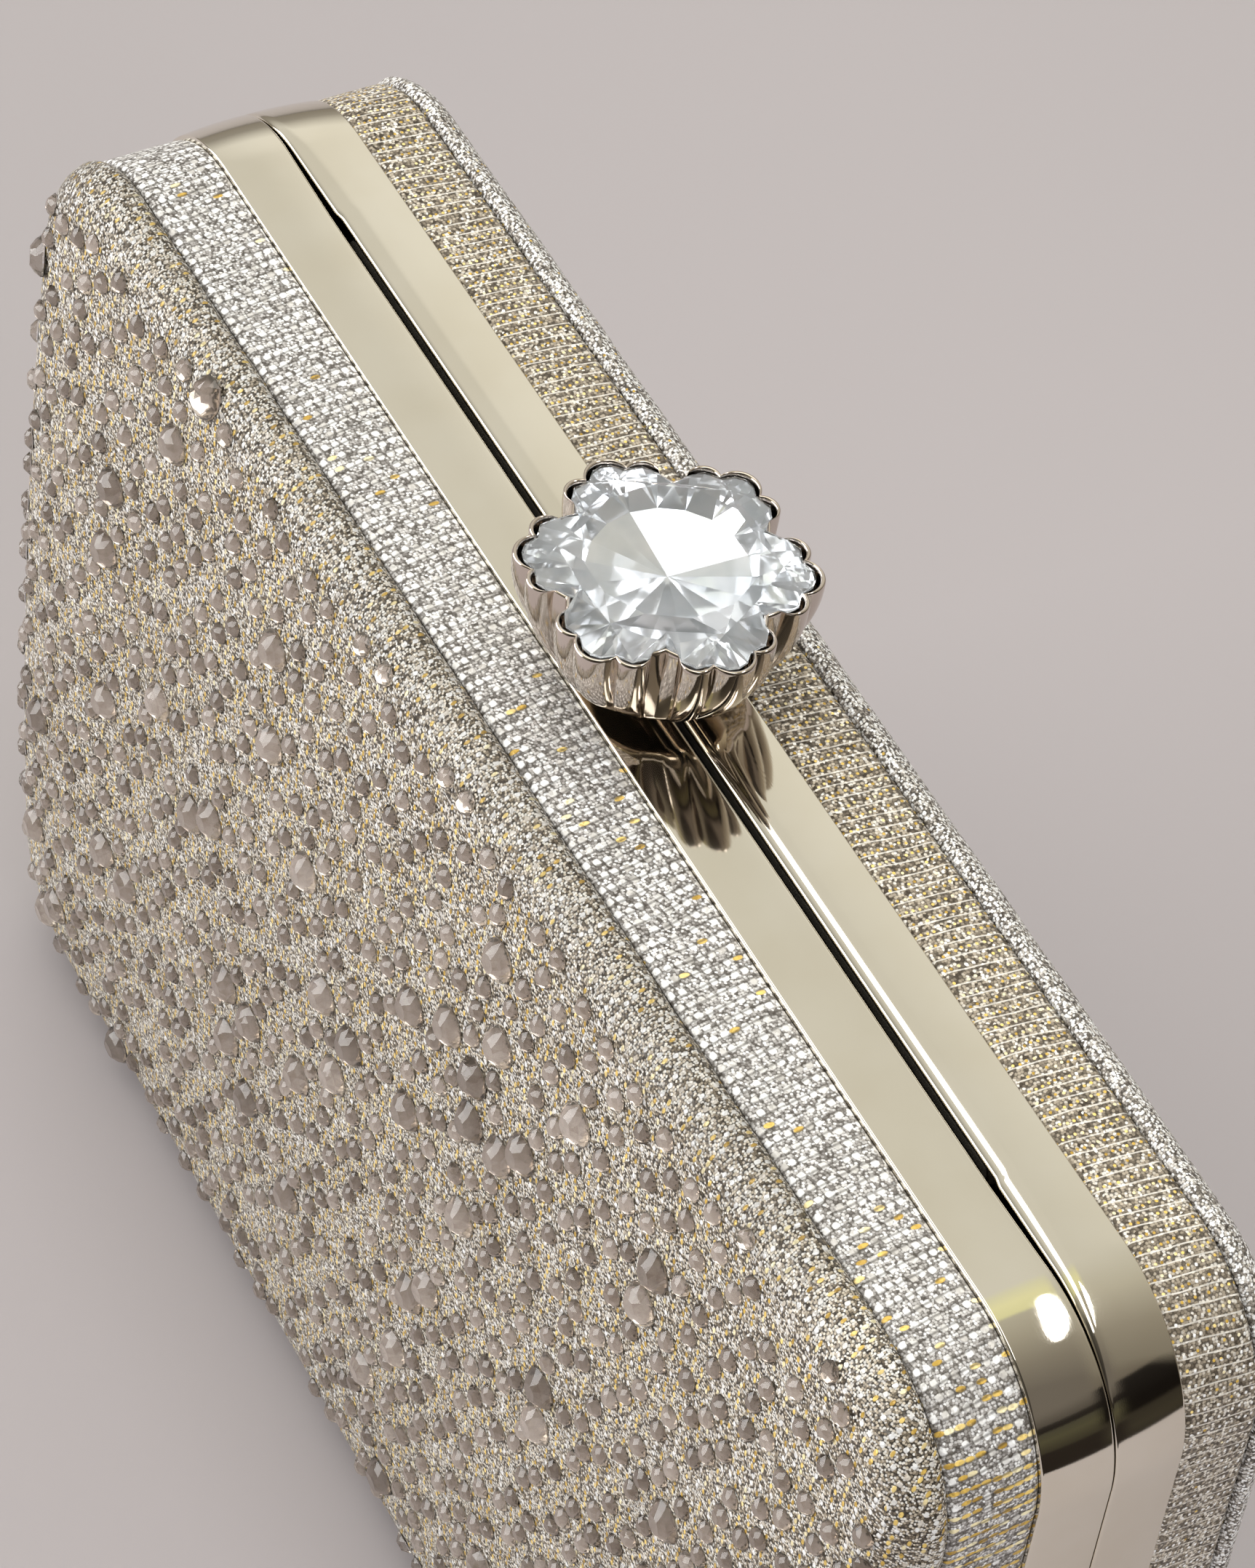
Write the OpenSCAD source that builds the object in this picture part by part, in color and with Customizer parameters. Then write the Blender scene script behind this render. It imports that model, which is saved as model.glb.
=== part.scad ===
// Box clutch with a two-part metal frame, fabric-covered shells, crystal front and a push clasp.
// The case stands on its base: X runs along its length, the crystal front faces -Y and +Z is up.
// The origin is the middle of the base.

/* [Case] */
// Length over the metal frames
body_w = 178; // [150:1:210]
// Height over the metal frames
body_h = 121; // [100:1:145]
// Radius of the frames' corners
corner_r = 14.7; // [12:0.1:20]
// Depth of the front half, from the parting plane to the seam of its panel
front_d = 16; // [15:0.5:24]
// Depth of the rear half, from the parting plane to the seam of its panel
rear_d = 15; // [14.5:0.5:24]
// Wall of the moulded shells
shell_t = 1.6; // [1.2:0.1:2.4]
// Clearance between nested pieces
fit = 0.05; // [0.02:0.01:0.1]

/* [Frames] */
// Width of the front frame band
front_frame_w = 7.2; // [6:0.1:9]
// Width of the rear frame band
rear_frame_w = 7.4; // [6.4:0.1:9]
// How far the bands stand proud of the fabric
frame_stand = 0.9; // [0.5:0.1:1.2]
// Gap between the closed halves at the sides
hairline = 0.12; // [0.08:0.02:0.3]
// Width of the slot between the bands along the top
slot_w = 0.95; // [0.7:0.05:1.4]
// Half the length of the slot's straight run
slot_run = 65; // [40:1:68]
// Length over which the slot closes to the hairline
slot_taper = 9; // [5:0.5:9]
// Thickness of the inner flange at the parting plane
flange_t = 1.2; // [0.8:0.1:1.4]
// Reach of the flange in from the outer face
flange_reach = 5; // [4.6:0.1:6]
// Drop of the rear band's rolled lip at the slot
lip_drop = 0.7; // [0.4:0.1:1]
// Width of the rear band's rolled lip
lip_w = 2; // [1.2:0.1:2.2]
// Rounding of the front band's edge at the slot
bead_r = 0.45; // [0.2:0.05:0.6]
// Rounding of both bands' edges at the hairline
hairline_r = 0.25; // [0.1:0.05:0.4]
// Bevel on the bands' outer edges
frame_bevel = 0.25; // [0.1:0.05:0.4]

/* [Fabric and panels] */
// Thickness of the glitter fabric
fabric_t = 0.6; // [0.4:0.1:0.9]
// Width of the fabric folded over the shell's face
fold_w = 8; // [6:0.5:10]
// Height of the front panel's padded edge
front_edge_t = 4.5; // [3:0.25:6]
// Crown of the front panel above its edge
front_crown = 3; // [1:0.25:5]
// Height of the rear panel's padded edge
rear_edge_t = 3.2; // [2.5:0.25:6]
// Crown of the rear panel above its edge
rear_crown = 1.6; // [0.5:0.1:4]
// Thickness of the stiff board inside a panel
board_t = 1.6; // [1.2:0.1:2]
// Distance of the panel's edge inside the frames' outer line
panel_inset = 0.3; // [0.2:0.1:0.8]
// Thickness of the lining
lining_t = 0.8; // [0.5:0.1:1.2]

/* [Hinge] */
// Distance from the frames' corners to the ends of the piano hinge
hinge_end = 1.3; // [1:0.1:15]
// Height of the hinge axis above the base
hinge_z = 2.6; // [2.5:0.05:3]
// Outer radius of a knuckle
knuckle_r = 1.6; // [1.4:0.05:1.65]
// Radius of the hinge pin
hinge_pin_r = 0.7; // [0.5:0.05:0.9]
// Number of knuckles on both leaves together
knuckles = 13; // [7:2:17]
// Thickness of a hinge leaf
leaf_t = 0.8; // [0.6:0.05:0.9]
// Reach of a hinge leaf from the axis
leaf_reach = 6.2; // [5.4:0.1:6.2]
// Angle at which the bands' lower edges meet and stop the case
stop_angle = 60; // [50:1:65]

/* [Clasp] */
// Radius of the flower at the tip of a petal
petal_r = 14.3; // [13.5:0.1:15]
// Radius of the flower at the notch between two petals
notch_r = 10.6; // [10.2:0.1:11]
// Radius of the bezel at its base
bezel_base_r = 9.9; // [8.5:0.1:10]
// Height of the bezel
bezel_h = 10.5; // [9:0.25:12]
// Wall of the bezel
bezel_t = 0.8; // [0.6:0.1:1]
// Gap between the bezel and the frame
button_gap = 2.3; // [2:0.1:3]
// Travel of the clasp when pressed
travel = 1.5; // [1:0.1:1.6]
// Distance of the flower's middle behind the parting plane
flower_y = 1.35; // [0:0.05:3]
// Distance of the stem behind the parting plane
stem_y = 2.9; // [2.8:0.05:3.2]
// Radius of the stem
stem_r = 1.5; // [1.2:0.05:1.6]
// Height of the crystal's table above its girdle
crystal_crown = 2.2; // [1.5:0.1:3]

/* [Crystals] */
// Diameter of a large crystal
large_stone = 4.7; // [3:0.1:5]
// Diameter of a small crystal
small_stone = 2.7; // [1.6:0.1:2.9]
// Spacing of the grid that the crystals are scattered on
stone_pitch = 7.4; // [6.8:0.1:12]
// Margin without crystals inside the panel's edge
stone_margin = 7.5; // [6.5:0.5:20]

/* [Hidden] */
$fn = 72;

overrun = 1;
half_gap = hairline / 2;
web_t = frame_stand + fabric_t;
flange_d = half_gap + flange_t;
shell_n = web_t + fit;
lining_n = shell_n + shell_t + fit;
inside_n = lining_n + lining_t;
skin = fabric_t + fit;

// Face of the shell and inner side of its face wall, measured from the parting plane
function face_out(depth) = depth - skin;
function face_in(depth) = face_out(depth) - shell_t;

// Crystals
large_sides = 8;
small_sides = 6;
stone_lift = 0.06;
stone_height_share = 0.36;
stone_table_share = 0.55;
stone_jitter_share = 0.18;
large_share = 0.17;
stone_seed = 12;

// Place of the parting plane, which puts the origin in the middle of the whole depth
front_reach = front_d + fit + front_edge_t + front_crown + stone_lift + large_stone * stone_height_share;
rear_reach = rear_d + fit + rear_edge_t + rear_crown;
parting_y = (front_reach - rear_reach) / 2;

// Hinge
hinge_len = body_w - 2 * (corner_r + hinge_end);
leaf_clear = 0.35;
knuckle_gap = 0.2;
running = 0.05;
hinge_relief_r = knuckle_r + leaf_clear;
leaf_start = hinge_relief_r + running;
leaf_root_share = 0.45;
leaf_root = hinge_relief_r * leaf_root_share;
hinge_end_room = 0.5;
leaf_room = 0.6;
hinge_rivets = 5;
hinge_rivet_r = 0.8;
hinge_rivet_head_r = 1.25;
rivet_head_t = 0.5;
rivet_depth = 0.7;

// Clasp mechanism: n is measured down from the top of the frames
bush_r = 2.2;
bush_stand = 0.4;
bush_n = 3;
clip_r = 2.4;
clip_clear = 0.35;
clip_t = 0.7;
stem_tip_r = 1;
stem_tip_n = 7.9;
arm_n = 8;
arm_t = 1.2;
arm_w = 4;
arm_gap = 0.1;
pivot_y = 8.2;
pivot_n = 8.6;
pivot_r = 1;
pivot_boss_r = 1.9;
bracket_t = 0.8;
bracket_in = 3.8;
bracket_ear = 4.6;
bracket_front = 1.75;
bracket_web_end = 6.9;
bracket_back = 10.8;
bracket_clear = 0.2;
bracket_step_n = inside_n + bracket_clear;
bracket_rivet_shares = [0.3, 0.75];
bracket_floor_n = 14.2;
spring_r = 1.75;
spring_wire_r = 0.25;
spring_turns = 4.5;
spring_ring_steps = 12;
spring_sides = 6;
lip_y = 2.4;
lip_t = 1;
lip_n = 7.4;
catch_t = 1;
catch_w = 11;
catch_rivet_share = 0.3;
catch_end = 6.8;
hook_gap = 0.3;
nose_t = 1.6;
nose_n = 6;
nose_flat_share = 0.35;
window_side = 0.8;
clasp_rivet_r = 0.7;
clasp_rivet_head_r = 1.1;

// Slip pocket
pocket_w = 76;
pocket_h = 56;
pocket_z = 22;
pocket_r = 5;
pocket_hem = 3;
pocket_hem_t = 0.5;

// Felt strip in the slot
felt_end = 3;
felt_run = slot_run - felt_end;
felt_top_n = 2.2;
felt_rest = 0.2;
felt_bottom_n = flange_reach - felt_rest;
felt_clear = 0.15;

// Flower
petals = 6;
petal_angle_shares = [0, 0.13, 0.24, 0.325, 0.4, 0.52, 0.64, 0.73, 0.81, 0.9, 1];
petal_body_share = 0.455;
tip_scallop_share = 0.845;
side_scallop_share = 0.815;
side_scallop_angle = 15.6;
side_scallop_r_share = 0.118;
rim_t = 0.55;
seat_drop = 3.2;
seat_foot_share = 0.8;
seat_head_share = 0.86;
flare_power = 2.2;
bezel_profile_shares = [0, 0.15, 0.38, 0.66, 0.9, 1];
crystal_gap = 0.25;
table_share = 0.4;
star_share = 0.72;
star_height_share = 0.62;

// Panels
edge_rounding_shares = [0, 0.06, 0.2, 0.42, 0.7, 1];
inset_ring_shares = [0.45, 0.7, 0.9];
crown_power = 2.4;
core_shares = [0.75, 0.5, 0.25];
long_steps = 10;
short_steps = 7;
corner_steps = 5;

function top(n) = body_h - n;
function spring_length() = bracket_floor_n - (arm_n + arm_t) - 2 * arm_gap;

// Places the local outline plane (X, up) upright, with depth running towards the front
module front_half_space() {
    translate([0, parting_y, 0]) rotate([90, 0, 0]) children();
}

// The same for the rear half, with depth running towards the rear
module rear_half_space() {
    translate([0, parting_y, 0]) mirror([0, 1, 0]) rotate([90, 0, 0]) children();
}

// Rounded rectangle lying inset from the frames' outer line
module outline(inset) {
    r = corner_r - inset;
    low = inset + r;
    side = body_w / 2 - low;
    translate([-side, inset]) square([2 * side, body_h - 2 * inset]);
    translate([-body_w / 2 + inset, low]) square([body_w - 2 * inset, body_h - 2 * low]);
    for (sx = [-1, 1], y = [low, body_h - low]) {
        translate([sx * side, y]) circle(r);
    }
}

// Ring between two insets, over a span of depth
module band(inset_out, inset_in, from, to) {
    translate([0, 0, from]) linear_extrude(to - from) difference() {
        outline(inset_out);
        outline(inset_in);
    }
}

// Plate with rounded corners, centred on X, standing on y = 0
module rounded_plate(w, h, r) {
    translate([-w / 2 + r, 0]) square([w - 2 * r, h]);
    translate([-w / 2, r]) square([w, h - 2 * r]);
    for (sx = [-1, 1], y = [r, h - r]) {
        translate([sx * (w / 2 - r), y]) circle(r);
    }
}

// Carries a section round the frame. The section's X is the distance in, its Y the depth.
module round_the_frame() {
    for (k = [0:3]) {
        run = k % 2 == 0 ? body_w - 2 * corner_r : body_h - 2 * corner_r;
        sx = k == 0 || k == 3 ? 1 : -1;
        sy = k < 2 ? 1 : -1;
        translate([sx * (body_w / 2 - corner_r), body_h / 2 + sy * (body_h / 2 - corner_r), 0])
        rotate(90 * k) {
            rotate_extrude(angle = 90) translate([corner_r, 0]) mirror([1, 0]) children();
            translate([-run, 0, 0]) rotate([90, 0, 90]) linear_extrude(run)
                translate([corner_r, 0]) mirror([1, 0]) children();
        }
    }
}

// Quarter of an ellipse from angle a to angle b
function bend(cx, cy, rx, ry, a, b, steps) =
    [for (i = [0:steps]) [cx + rx * cos(a + (b - a) * i / steps), cy + ry * sin(a + (b - a) * i / steps)]];

// Section of a frame: a flat web with a bevelled outer edge, a rounded inner edge and a flange
module frame_section(width) {
    polygon(concat(
        [[web_t, width], [frame_bevel, width], [0, width - frame_bevel]],
        bend(hairline_r, half_gap + hairline_r, hairline_r, hairline_r, 180, 270, 6),
        [[flange_reach, half_gap], [flange_reach, flange_d], [web_t, flange_d]]
    ));
}

// Section of the slot on one side of the parting plane, measured from the slot's face.
// The band's edge rolls down to it over a width and a drop.
module slot_section(roll_w, roll_drop) {
    deep = flange_reach + overrun;
    polygon(concat(
        [[-overrun, -slot_w / 2 - overrun], [deep, -slot_w / 2 - overrun], [deep, 0]],
        bend(roll_drop, roll_w, roll_drop, roll_w, 270, 180, 8),
        [[-overrun, roll_w]]
    ));
}

// Half of the slot with ends that close to the hairline
module slot_cut(roll_w, roll_drop) {
    slope = atan((slot_w / 2 - half_gap) / slot_taper);
    translate([-slot_run, body_h, slot_w / 2]) slot_run_cut(2 * slot_run, roll_w, roll_drop);
    for (side = [0, 1]) {
        mirror([side, 0, 0]) translate([slot_run, body_h, slot_w / 2]) rotate([0, slope, 0])
            slot_run_cut(slot_taper + corner_r / 2, roll_w, roll_drop);
    }
}

module slot_run_cut(run, roll_w, roll_drop) {
    rotate([0, 0, -90]) rotate([90, 0, 0]) mirror([0, 0, 1]) linear_extrude(run)
        slot_section(roll_w, roll_drop);
}

// Groove under the hinge whose faces meet when the case is fully open
module stop_groove() {
    reach = (hinge_z + overrun) * tan(stop_angle / 2);
    rotate([90, 0, 90]) translate([0, 0, -body_w / 2 - overrun]) linear_extrude(body_w + 2 * overrun)
        polygon([[hinge_z, 0], [-overrun, reach], [-overrun, -reach]]);
}

// Room for the knuckles
module knuckle_room() {
    translate([-hinge_len / 2 - hinge_end_room, hinge_z, 0]) rotate([0, 90, 0])
        cylinder(r = hinge_relief_r, h = hinge_len + 2 * hinge_end_room);
}

// Room above the base web for the leaf, down to the given depth
module leaf_recess(depth_to, low, high) {
    room = hinge_len + 2 * hinge_end_room;
    translate([-room / 2, low, -overrun]) cube([room, high - low, depth_to + overrun]);
}

// Blind holes in a web for the shanks of the hinge rivets
module hinge_rivet_holes() {
    for (x = hinge_rivet_places()) {
        translate([x, web_t + overrun, hinge_rivet_y()]) rotate([90, 0, 0])
            cylinder(r = hinge_rivet_r, h = rivet_depth + overrun);
    }
}

function hinge_rivet_y() = (leaf_start + leaf_reach) / 2;
function hinge_rivet_places() =
    [for (i = [0:hinge_rivets - 1]) hinge_len * ((i + 0.5) / hinge_rivets - 0.5)];

// Rivets set from below through a plate of thickness t against the top web
module web_rivets(places, t) {
    for (p = places) {
        translate([p[0], top(web_t - rivet_depth), p[1]]) rotate([90, 0, 0])
            cylinder(r = clasp_rivet_r, h = rivet_depth + t);
        translate([p[0], top(web_t + t), p[1]]) rotate([90, 0, 0])
            cylinder(r1 = clasp_rivet_head_r, r2 = clasp_rivet_r, h = rivet_head_t);
    }
}

module web_rivet_holes(places) {
    for (p = places) {
        translate([p[0], top(web_t - rivet_depth), p[1]]) rotate([90, 0, 0])
            cylinder(r = clasp_rivet_r, h = rivet_depth + overrun);
    }
}

function bracket_rivets() = [
    for (sx = [-1, 1], y = bracket_rivet_shares)
        [sx * (bracket_in + bracket_t + bracket_ear / 2), bracket_front + y * (bracket_web_end - bracket_front)]
];
function catch_rivet_places() = [for (sx = [-1, 1]) [sx * catch_w * catch_rivet_share, (lip_y + lip_t + catch_end) / 2]];

// One frame band in its half space
module frame_band(width, roll_w, roll_drop) {
    difference() {
        round_the_frame() frame_section(width);
        slot_cut(roll_w, roll_drop);
        stop_groove();
        knuckle_room();
        leaf_recess(leaf_start, web_t, flange_reach + overrun);
        hinge_rivet_holes();
    }
}

module front_frame() {
    color("#d9d0b4") front_half_space() difference() {
        frame_band(front_frame_w, bead_r, bead_r);
        web_rivet_holes(catch_rivet_places());
    }
}

module rear_frame() {
    color("#d9d0b4") rear_half_space() difference() {
        frame_band(rear_frame_w, lip_w, lip_drop);
        web_rivet_holes(bracket_rivets());
        translate([0, body_h + overrun, stem_y]) rotate([90, 0, 0])
            cylinder(r = bush_r, h = web_t + 2 * overrun);
        translate([-clip_r - clip_clear, top(flange_reach + overrun), -overrun])
            cube([2 * (clip_r + clip_clear), flange_reach + overrun - web_t, flange_d + 2 * overrun]);
    }
}

// Moulded tray with a window under the clasp and a recess for the hinge leaf
module shell(depth, window_w, window_d) {
    color("#3a3836") difference() {
        translate([0, 0, flange_d + fit]) linear_extrude(face_out(depth) - flange_d - fit) outline(shell_n);
        translate([0, 0, flange_d - overrun]) linear_extrude(face_in(depth) - flange_d + overrun)
            outline(shell_n + shell_t);
        leaf_recess(leaf_reach + leaf_room, 0, shell_n + shell_t + fit);
        clasp_window(window_w, window_d);
    }
}

module clasp_window(w, d) {
    translate([-w / 2, top(inside_n + overrun), -overrun]) cube([w, inside_n + 2 * overrun, d + overrun]);
}

function bracket_window_w() = 2 * (bracket_in + bracket_t + bracket_ear + window_side);
function catch_window_w() = catch_w + 2 * window_side;

module front_shell() {
    front_half_space() shell(front_d, catch_window_w(), front_frame_w);
}

module rear_shell() {
    rear_half_space() shell(rear_d, bracket_window_w(), rear_frame_w);
}

// Fabric glued round the shell and folded over the edge of its face
module side_wrap(depth, frame_w) {
    color("#a8a49c") {
        band(frame_stand, web_t, frame_w + fit, depth);
        band(web_t, frame_stand + fold_w, depth - fabric_t, depth);
    }
}

module front_side_wrap() {
    front_half_space() side_wrap(front_d, front_frame_w);
}

module rear_side_wrap() {
    rear_half_space() side_wrap(rear_d, rear_frame_w);
}

// Stiff board glued to the shell's face inside the folded fabric
module panel_board(depth) {
    color("#8a7f6c") translate([0, 0, face_out(depth) + fit]) linear_extrude(board_t)
        outline(frame_stand + fold_w + fit);
}

module front_panel_board() {
    front_half_space() panel_board(front_d);
}

module rear_panel_board() {
    rear_half_space() panel_board(rear_d);
}

// Points of the panel's outline at an inset, counted round from the right-hand side
function corner_points(cx, cy, r, start) =
    [for (i = [0:corner_steps]) [cx + r * cos(start + 90 * i / corner_steps), cy + r * sin(start + 90 * i / corner_steps)]];
function between(a, b, steps) = [for (i = [1:steps - 1]) a + (b - a) * i / steps];
function panel_ring(inset) =
    let(
        r = corner_r - inset,
        side = body_w / 2 - corner_r,
        low = corner_r,
        high = body_h - corner_r,
        a = corner_points(side, high, r, 0),
        b = corner_points(-side, high, r, 90),
        c = corner_points(-side, low, r, 180),
        d = corner_points(side, low, r, 270),
        last = corner_steps
    )
    concat(
        a, between(a[last], b[0], long_steps),
        b, between(b[last], c[0], short_steps),
        c, between(c[last], d[0], long_steps),
        d, between(d[last], a[0], short_steps)
    );
middle = [0, body_h / 2];
function shrunk(ring, share) = [for (p = ring) middle + (p - middle) * share];

// Crown of a panel at a place, and the rounding of its edge at a distance in
function crown_at(p, crown) =
    crown * (1 - pow(abs(p[0]) / (body_w / 2), crown_power))
    * (1 - pow(abs(p[1] - body_h / 2) / (body_h / 2), crown_power));
function edge_at(u, edge_t) = edge_t * sqrt(max(0, 1 - pow(1 - min(u / edge_t, 1), 2)));
function inset_at(p) =
    let(
        qx = abs(p[0]) - (body_w / 2 - corner_r),
        qy = abs(p[1] - body_h / 2) - (body_h / 2 - corner_r)
    )
    corner_r - norm([max(qx, 0), max(qy, 0)]) - min(max(qx, qy), 0) - panel_inset;
function panel_height(p, edge_t, crown) = edge_at(inset_at(p), edge_t) + crown_at(p, crown);
function raised(ring, edge_t, crown) = [for (p = ring) [p[0], p[1], panel_height(p, edge_t, crown)]];

// Solid whose rings are joined in order, closed to a point below and a point above
module ringed_solid(rings, foot, tip) {
    n = len(rings[0]);
    k = len(rings);
    points = concat([for (ring = rings) for (p = ring) p], [tip, foot]);
    walls = [for (j = [0:k - 2]) for (i = [0:n - 1]) for (half = [0, 1])
        let(a = j * n + i, b = j * n + (i + 1) % n)
        half == 0 ? [a, a + n, b] : [b, a + n, b + n]];
    cap = [for (i = [0:n - 1]) [(k - 1) * n + i, n * k, (k - 1) * n + (i + 1) % n]];
    sole = [for (i = [0:n - 1]) [n * k + 1, i, (i + 1) % n]];
    polyhedron(points, concat(sole, walls, cap));
}

// Padded panel: a flat back with a pocket for its board, a rolled edge and a crowned face
module padded_panel(depth, edge_t, crown) {
    foot = [for (p = panel_ring(panel_inset)) [p[0], p[1], 0]];
    edge = [for (share = edge_rounding_shares) if (share > 0)
        raised(panel_ring(panel_inset + edge_t * share), edge_t, crown)];
    insets = [for (share = inset_ring_shares) raised(panel_ring(edge_t + (corner_r - edge_t) * share), edge_t, crown)];
    last_ring = panel_ring(edge_t + (corner_r - edge_t) * inset_ring_shares[len(inset_ring_shares) - 1]);
    core = [for (share = core_shares) raised(shrunk(last_ring, share), edge_t, crown)];
    pocket = board_t - skin + 2 * fit;
    color("#a39d93") translate([0, 0, depth + fit]) difference() {
        ringed_solid(
            concat([foot], edge, insets, core),
            [middle[0], middle[1], 0],
            [middle[0], middle[1], edge_t + crown]
        );
        translate([0, 0, -overrun]) linear_extrude(pocket + overrun) outline(frame_stand + fold_w);
    }
}

module front_panel() {
    front_half_space() padded_panel(front_d, front_edge_t, front_crown);
}

module rear_panel() {
    rear_half_space() padded_panel(rear_d, rear_edge_t, rear_crown);
}

// Lining strip round the inside of the walls
module lining_wall(depth, window_w, window_d) {
    color("#c9bfae") difference() {
        band(lining_n, inside_n, flange_d + fit, face_in(depth) - fit);
        knuckle_room();
        clasp_window(window_w, window_d);
    }
}

module front_lining_wall() {
    front_half_space() lining_wall(front_d, catch_window_w(), front_frame_w);
}

module rear_lining_wall() {
    rear_half_space() lining_wall(rear_d, bracket_window_w(), rear_frame_w);
}

// Covered board on the floor of a tray
module lining_board(depth) {
    color("#cdc3b2") translate([0, 0, face_in(depth) - fit - lining_t]) linear_extrude(lining_t)
        outline(inside_n + fit);
}

module front_lining_board() {
    front_half_space() lining_board(front_d);
}

module rear_lining_board() {
    rear_half_space() lining_board(rear_d);
}

// Slip pocket sewn to the rear lining, with a turned hem along its mouth
module slip_pocket() {
    back = face_in(rear_d) - 2 * fit - lining_t;
    color("#c2b7a4") rear_half_space() {
        translate([0, pocket_z, back - lining_t]) linear_extrude(lining_t)
            rounded_plate(pocket_w, pocket_h, pocket_r);
        translate([-pocket_w / 2 + pocket_r, pocket_z + pocket_h - pocket_hem, back - lining_t - pocket_hem_t])
            cube([pocket_w - 2 * pocket_r, pocket_hem, pocket_hem_t]);
    }
}

// Flat-back crystal: a bevelled crown with a table, standing on a place with a normal
function ring_on(c, u, v, r, sides) =
    [for (i = [0:sides - 1]) c + r * (cos(360 * i / sides) * u + sin(360 * i / sides) * v)];
function unit(a) = a / norm(a);
function stone_points(place, normal, d, sides) =
    let(u = unit(cross([0, 1, 0], normal)), v = cross(normal, u))
    concat(
        ring_on(place, u, v, d / 2, sides),
        ring_on(place + normal * d * stone_height_share, u, v, d / 2 * stone_table_share, sides)
    );
function stone_faces(first, sides) = concat(
    [[for (i = [0:sides - 1]) first + i]],
    [[for (i = [sides - 1:-1:0]) first + sides + i]],
    [for (i = [0:sides - 1]) [
        first + sides + i, first + sides + (i + 1) % sides, first + (i + 1) % sides, first + i
    ]]
);

// Scattered places on a staggered grid, moved at random. The last value picks the large ones.
stone_columns = floor((body_w - 2 * stone_margin) / stone_pitch);
stone_row_pitch = stone_pitch * cos(180 / small_sides);
stone_rows = floor((body_h - 2 * stone_margin) / stone_row_pitch);
stone_chance = rands(-1, 1, 3 * (stone_columns + 1) * (stone_rows + 1), stone_seed);
stone_places = [
    for (j = [0:stone_rows]) for (i = [0:stone_columns])
    let(
        k = 3 * (j * (stone_columns + 1) + i),
        stagger = (j % 2 - 1 / 2) / 2,
        x = (i - stone_columns / 2 + stagger + stone_jitter_share * stone_chance[k]) * stone_pitch,
        y = body_h / 2 + (j - stone_rows / 2 + stone_jitter_share * stone_chance[k + 1]) * stone_row_pitch
    )
    if (inset_at([x, y]) > stone_margin) [x, y, stone_chance[k + 2] < 2 * large_share - 1]
];

// Small step used to find the slope of the panel under a crystal
slope_step = small_stone / 4;
function panel_normal(p) =
    let(
        h = panel_height(p, front_edge_t, front_crown),
        hx = panel_height([p[0] + slope_step, p[1]], front_edge_t, front_crown),
        hy = panel_height([p[0], p[1] + slope_step], front_edge_t, front_crown)
    )
    unit([(h - hx) / slope_step, (h - hy) / slope_step, 1]);

module stones(large, d, sides) {
    places = [for (p = stone_places) if (p[2] == large) p];
    points = [for (p = places)
        let(h = front_d + fit + panel_height(p, front_edge_t, front_crown) + stone_lift)
        for (q = stone_points([p[0], p[1], h], panel_normal(p), d, sides)) q];
    faces = [for (k = [0:len(places) - 1]) for (f = stone_faces(2 * sides * k, sides)) f];
    front_half_space() polyhedron(points, faces);
}

module large_crystals() {
    color("#8e8882") stones(true, large_stone, large_sides);
}

module small_crystals() {
    color("#a09a94") stones(false, small_stone, small_sides);
}

// Black felt on the front flange, which closes the bottom of the slot
module edge_felt() {
    color("#101010") front_half_space()
        translate([-felt_run, top(felt_bottom_n), -slot_w / 2 + felt_clear])
        cube([2 * felt_run, felt_bottom_n - felt_top_n, slot_w - felt_clear - fit]);
}

// Plate riveted under the front web, with a lip that the latch hooks behind
module catch_plate() {
    color("#b9b6ae") front_half_space() difference() {
        union() {
            translate([-catch_w / 2, top(web_t + catch_t), lip_y])
                cube([catch_w, catch_t, catch_end - lip_y]);
            translate([-catch_w / 2, top(lip_n), lip_y]) cube([catch_w, lip_n - web_t, lip_t]);
        }
        web_rivet_holes_through(catch_rivet_places(), catch_t);
    }
}

module web_rivet_holes_through(places, t) {
    for (p = places) {
        translate([p[0], top(web_t - overrun), p[1]]) rotate([90, 0, 0])
            cylinder(r = clasp_rivet_r, h = t + 2 * overrun);
    }
}

module catch_rivets() {
    color("#a09c92") front_half_space() web_rivets(catch_rivet_places(), catch_t);
}

// Hinge leaf on the base web with every second knuckle, counted from first
module hinge_leaf(first) {
    step = hinge_len / knuckles;
    difference() {
        union() {
            translate([-hinge_len / 2, web_t, leaf_start]) cube([hinge_len, leaf_t, leaf_reach - leaf_start]);
            for (i = [first:2:knuckles - 1]) {
                x = -hinge_len / 2 + i * step + knuckle_gap / 2;
                translate([x, web_t, leaf_root]) cube([step - knuckle_gap, leaf_t, leaf_start - leaf_root]);
                translate([x, hinge_z, 0]) rotate([0, 90, 0]) cylinder(r = knuckle_r, h = step - knuckle_gap);
            }
        }
        translate([-hinge_len / 2 - overrun, hinge_z, 0]) rotate([0, 90, 0])
            cylinder(r = hinge_pin_r + running, h = hinge_len + 2 * overrun);
        for (x = hinge_rivet_places()) {
            translate([x, web_t - overrun, hinge_rivet_y()]) rotate([-90, 0, 0])
                cylinder(r = hinge_rivet_r, h = leaf_t + 2 * overrun);
        }
    }
}

module hinge_leaf_rivets() {
    for (x = hinge_rivet_places()) {
        translate([x, web_t - rivet_depth, hinge_rivet_y()]) rotate([-90, 0, 0]) {
            cylinder(r = hinge_rivet_r, h = rivet_depth + leaf_t);
            translate([0, 0, rivet_depth + leaf_t])
                cylinder(r1 = hinge_rivet_head_r, r2 = hinge_rivet_r, h = rivet_head_t);
        }
    }
}

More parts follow.
